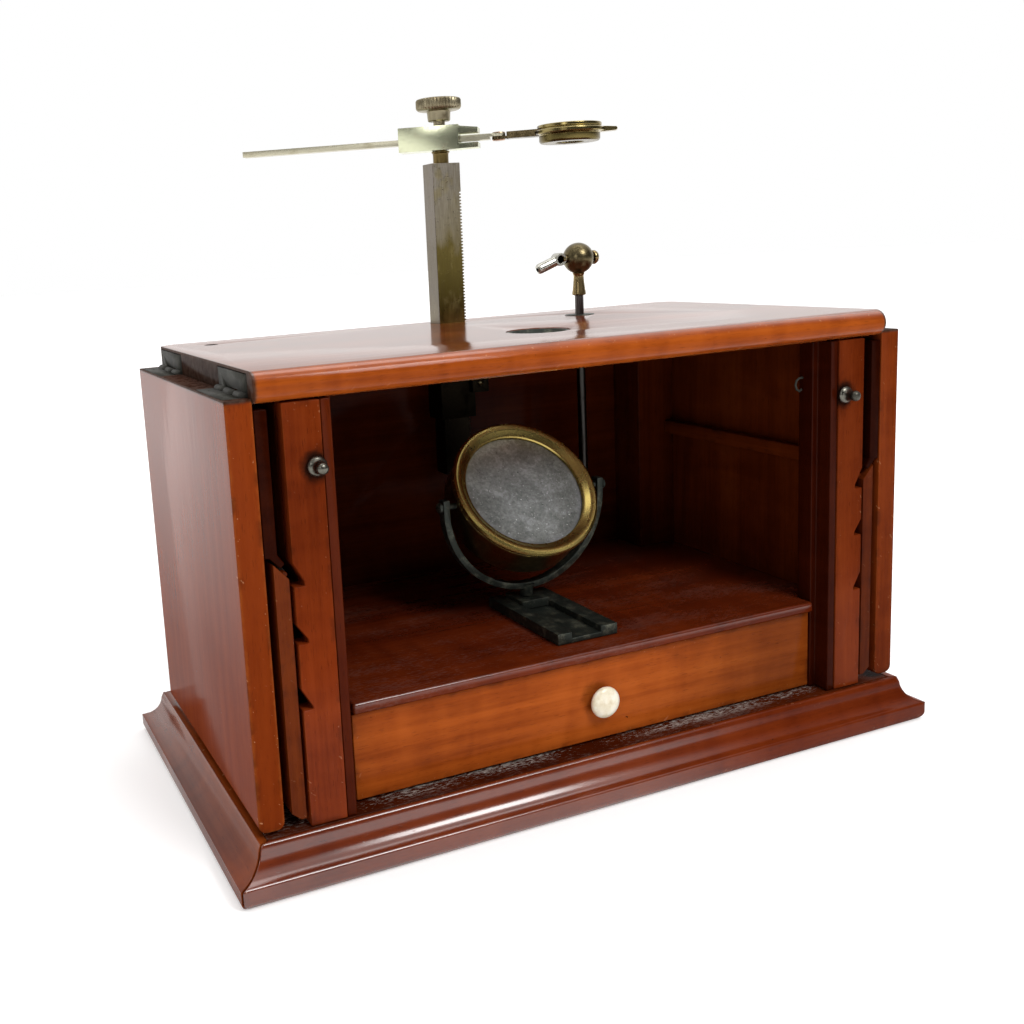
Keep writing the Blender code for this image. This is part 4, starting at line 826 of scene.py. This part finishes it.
def build_mirror(bezel, cup, black):
    """The track, fork and glass, and the turned cell: its bezel bright and its cup dark, as painted shade under the
    bezel.
    """
    paint(black, "mirror_track", "mirror_slider", "mirror_fork")
    soften("mirror_track", 0.3, 2)
    soften("mirror_slider", 0.3, 2)
    soften("mirror_fork", 0.35, 2, 40)
    low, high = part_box("mirror_glass")
    paint(old_mirror(low, high), "mirror_glass")
    rounded("mirror_glass")
    tilt = translation(MIRROR_X, MIRROR_Y, MIRROR_HEIGHT) @ Matrix.Rotation(math.radians(MIRROR_TILT), 4, "X")
    shape = bmesh.new()
    outer = [(29.3, 5.0), (29.2, 5.9), (29.6, 6.6), (30.6, 7.0), (32.0, 8.2), (33.4, 8.9), (34.7, 8.9), (35.7, 8.3),
             (36.2, 7.2), (36.1, 6.0), (35.6, 5.2), (35.0, 4.9), (34.6, 4.6), (34.6, 3.9), (34.9, 3.7), (34.9, 3.0),
             (34.6, 2.8), (34.5, -11.6), (34.2, -12.8), (33.2, -13.7), (31.5, -14.0), (0, -14.0)]
    lathe(shape, outer, tilt, 128)
    lathe(shape, [(0, 1.6), (32.6, 1.6), (32.6, 5.0), (29.3, 5.0)], tilt, 128)
    cell = piece("turned_mirror_cell", shape, "mirror_body", bezel, 28)
    # the cup below the bezel gets the darker brass: painted shade
    cell.data.materials.append(cup)
    cup_top = 3.8 * MM
    untilted = tilt.inverted()
    for polygon in cell.data.polygons:
        if (untilted @ polygon.center).z < cup_top:
            polygon.material_index = 1
    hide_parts("mirror_cell")
    for side, axis in (("left", "-x"), ("right", "x")):
        pivot = bmesh.new()
        place = at(FORK_X, MIRROR_Y, MIRROR_HEIGHT, axis)
        profile = [(0, 45.6), (1.6, 45.4), (2.5, 44.8), (2.6, 43.6), (1.5, 43.4), (1.5, 31.0), (0, 31.0)]
        lathe(pivot, profile, place, 32)
        screw = piece(f"trunnion_screw_{side}", pivot, "mirror_body", black)
        cut_slot(screw, place @ translation(0, 0, 45.6), 2.6, 0.5, 0.6)


def build_small_metal(old, inside, stud, dull, black):
    """The linings, the pinion, the studs and the hinge leaves, which keep their CAD shapes."""
    # the sleeve gets the near-black brass: painted shade inside the case
    paint(inside, "pillar_sleeve")
    soften("pillar_sleeve", 0.3, 2)
    leaves = [node for node in NODES if "_leaf_" in node]
    for material, smooth, nodes in ((black, 35, ("stage_ring", "pin_bush")), (old, 35, ("pinion", "pinion_bush")),
                                    (stud, 50, ("post_stud_left", "post_stud_right")), (dull, 40, leaves)):
        paint(material, *nodes)
        for node in nodes:
            rounded(node, smooth)


def build_fittings(dull):
    """The flap leaves' screws, the struts' small hinges and the hook on the right jamb."""
    for side_name, side in (("left", -1), ("right", 1)):
        for place_name, centre in (("front", -57), ("back", 47)):
            for number, offset in enumerate((-13, 0, 13)):
                screw_head(f"leaf_screw_{side_name}_{place_name}_{number}",
                           at(side * 156.2, centre + offset, 189.95, "z"), 1.7, f"flap_{side_name}_body", dull,
                           0.5 + offset)
        for number, centre in enumerate((-62, 45)):
            shape = bmesh.new()
            place = at(side * 142, centre, 122.9, "y")
            lathe(shape, [(0, 14), (1.3, 14), (1.3, 4.9), (1.0, 4.7), (1.3, 4.5), (1.3, -4.5), (1.0, -4.7),
                          (1.3, -4.9), (1.3, -14), (0, -14)], place, 24)
            piece(f"strut_hinge_{side_name}_{number}", shape, f"strut_{side_name}_body", dull)
    hook = bpy.data.curves.new("jamb_hook", "CURVE")
    hook.dimensions = "3D"
    hook.bevel_depth = 0.55 * MM
    hook.bevel_resolution = 3
    hook.use_fill_caps = True
    line = hook.splines.new("POLY")
    points = [(117.6, -68.5, 170.5), (115.4, -68.5, 170.4), (113.6, -68.6, 169.4), (112.9, -68.7, 167.4),
              (113.5, -68.8, 165.4), (115.0, -68.9, 164.4), (116.3, -69.0, 165.2)]
    line.points.add(len(points) - 1)
    for point, where in zip(line.points, points):
        point.co = (*(c * MM for c in where), 1)
    hook.materials.append(dull)
    obj = new_object("jamb_hook", hook)
    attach(obj, "case")


def build_knob():
    """The drawer's turned knob."""
    shape = bmesh.new()
    lathe(shape, [(0, 5.5), (2.5, 5.4), (4.8, 5.0), (6.2, 4.3), (6.9, 3.5), (7.1, 2.8), (6.9, 2.1), (6.1, 1.5),
                  (5.0, 1.1), (4.5, 0.5), (4.5, 0.0), (0, 0.0)], at(0, -74.3, 39.8, "-y"), 72)
    knob = piece("turned_knob", shape, "drawer", ivory(), 40)
    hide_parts("drawer_knob")


# ---------------------------------------------------------------- stage, lights and camera

def floor_material():
    """A pale sweep that glows, more strongly away from the object: painted light standing in for a lit backdrop."""
    g = Graph("floor")
    soft = g.noise(g.place, 3, 2)
    away = g.length(g.place)
    return g.set(colour=g.mix(soft, (0.79, 0.79, 0.79), (0.8, 0.8, 0.8)), rough=0.7, specular=0.1,
                 emission=(1, 1, 1, 1), glow=g.step(away, 0.15, 1.3, 0.3, 0.6))


def build_stage():
    shape = bmesh.new()
    bmesh.ops.create_circle(shape, cap_ends=True, segments=96, radius=9.0)
    mesh = new_mesh("floor", shape)
    mesh.materials.append(floor_material())
    new_object("floor", mesh)


def softbox(name, place, target, size, power):
    light = bpy.data.lights.new(name, "AREA")
    light.shape = "RECTANGLE"
    light.size, light.size_y = size
    light.energy = power
    obj = new_object(name, light)
    obj.location = place
    obj.rotation_euler = (Vector(target) - Vector(place)).to_track_quat("-Z", "Y").to_euler()


def build_light():
    """A white sweep behind and above, a dimmer room in front, and soft boxes."""
    world = bpy.data.worlds.new("studio")
    world.use_nodes = True
    nodes = world.node_tree.nodes
    links = world.node_tree.links
    place = nodes.new("ShaderNodeTexCoord")
    parts = nodes.new("ShaderNodeSeparateXYZ")
    links.new(place.outputs["Generated"], parts.inputs[0])
    most = nodes.new("ShaderNodeMath")
    most.operation = "MAXIMUM"
    for index, (axis, levels) in enumerate((("Y", (-0.3, 0.35, 0.04, 1.1)), ("Z", (0.4, 0.9, 0.0, 1.0)))):
        brightness = nodes.new("ShaderNodeMapRange")
        brightness.interpolation_type = "SMOOTHSTEP"
        links.new(parts.outputs[axis], brightness.inputs[0])
        for number, value in enumerate(levels, 1):
            brightness.inputs[number].default_value = value
        links.new(brightness.outputs[0], most.inputs[index])
    room = nodes["Background"]
    links.new(most.outputs[0], room.inputs["Strength"])
    room.inputs["Color"].default_value = (1.0, 0.99, 0.98, 1)
    seen = nodes.new("ShaderNodeBackground")
    seen.inputs["Color"].default_value = (1, 1, 1, 1)
    path = nodes.new("ShaderNodeLightPath")
    both = nodes.new("ShaderNodeMixShader")
    links.new(path.outputs["Is Camera Ray"], both.inputs[0])
    links.new(room.outputs[0], both.inputs[1])
    links.new(seen.outputs[0], both.inputs[2])
    links.new(both.outputs[0], nodes["World Output"].inputs["Surface"])
    bpy.context.scene.world = world
    bpy.context.scene.view_settings.view_transform = "Standard"
    softbox("key", (0.38, -1.2, 1.35), (0, 0, 0.1), (0.6, 0.72), 17)
    softbox("left_fill", (-1.2, -1.0, 0.7), (0.05, 0, 0.1), (0.4, 0.4), 2.5)
    softbox("top", (0.0, 0.1, 1.6), (0, 0, 0.1), (1.4, 0.7), 7)


def build_camera():
    camera = bpy.data.cameras.new("camera")
    camera.sensor_width = 36
    camera.lens = 39.6
    camera.shift_x = 0.1242
    camera.shift_y = -0.0604
    camera.clip_start = 0.01
    right = Vector((0.91841, -0.39147, -0.05718))
    down = Vector((-0.12222, -0.14329, -0.98210))
    forward = Vector((0.37627, 0.90897, -0.17945))
    obj = new_object("camera", camera)
    turn = Matrix((right, -down, -forward)).transposed().to_4x4()
    obj.matrix_world = Matrix.Translation((-0.26065, -0.47158, 0.24213)) @ turn
    bpy.context.scene.camera = obj


build_wood()
METAL = brass("fitting_brass", (0.3, 0.22, 0.1), (0.15, 0.11, 0.05), 0.26, seed=1, amount=0.4)
OLD = brass("old_brass", (0.15, 0.12, 0.062), (0.075, 0.06, 0.03), 0.3, seed=2, spots=0.5, mottled=0.3)
BEZEL = brass("bezel_brass", (0.5, 0.38, 0.12), (0.4, 0.3, 0.095), 0.27, seed=4, amount=0.4, spots=0.0, mottled=0.05)
# the mirror cell's cup: brass darkened as painted shade under the bezel
CUP_PAINTED_SHADE = brass("cup_brass", (0.2, 0.13, 0.05), (0.09, 0.06, 0.024), 0.3, seed=10, spots=0.5)
STUD = brass("stud_metal", (0.13, 0.125, 0.105), (0.06, 0.055, 0.045), 0.3, seed=11)
# near-black brass: painted shade for the sleeve inside the case and the holder eye's hole
PAINTED_SHADE_BRASS = brass("brass_painted_shade", (0.014, 0.011, 0.007), (0.008, 0.006, 0.004), 0.6, seed=12)
PALE = brass("arm_brass", (0.52, 0.49, 0.37), (0.42, 0.38, 0.26), 0.38, seed=5, amount=0.4, spots=0.15, mottled=0.12)
BLACK = blackened()
DULL = dull_brass()
build_pillar()
build_clamp()
build_arm(PALE)
build_pin(METAL, OLD, PAINTED_SHADE_BRASS)
build_mirror(BEZEL, CUP_PAINTED_SHADE, BLACK)
build_small_metal(OLD, PAINTED_SHADE_BRASS, STUD, DULL, BLACK)
build_fittings(DULL)
build_knob()
build_stage()
build_light()
build_camera()
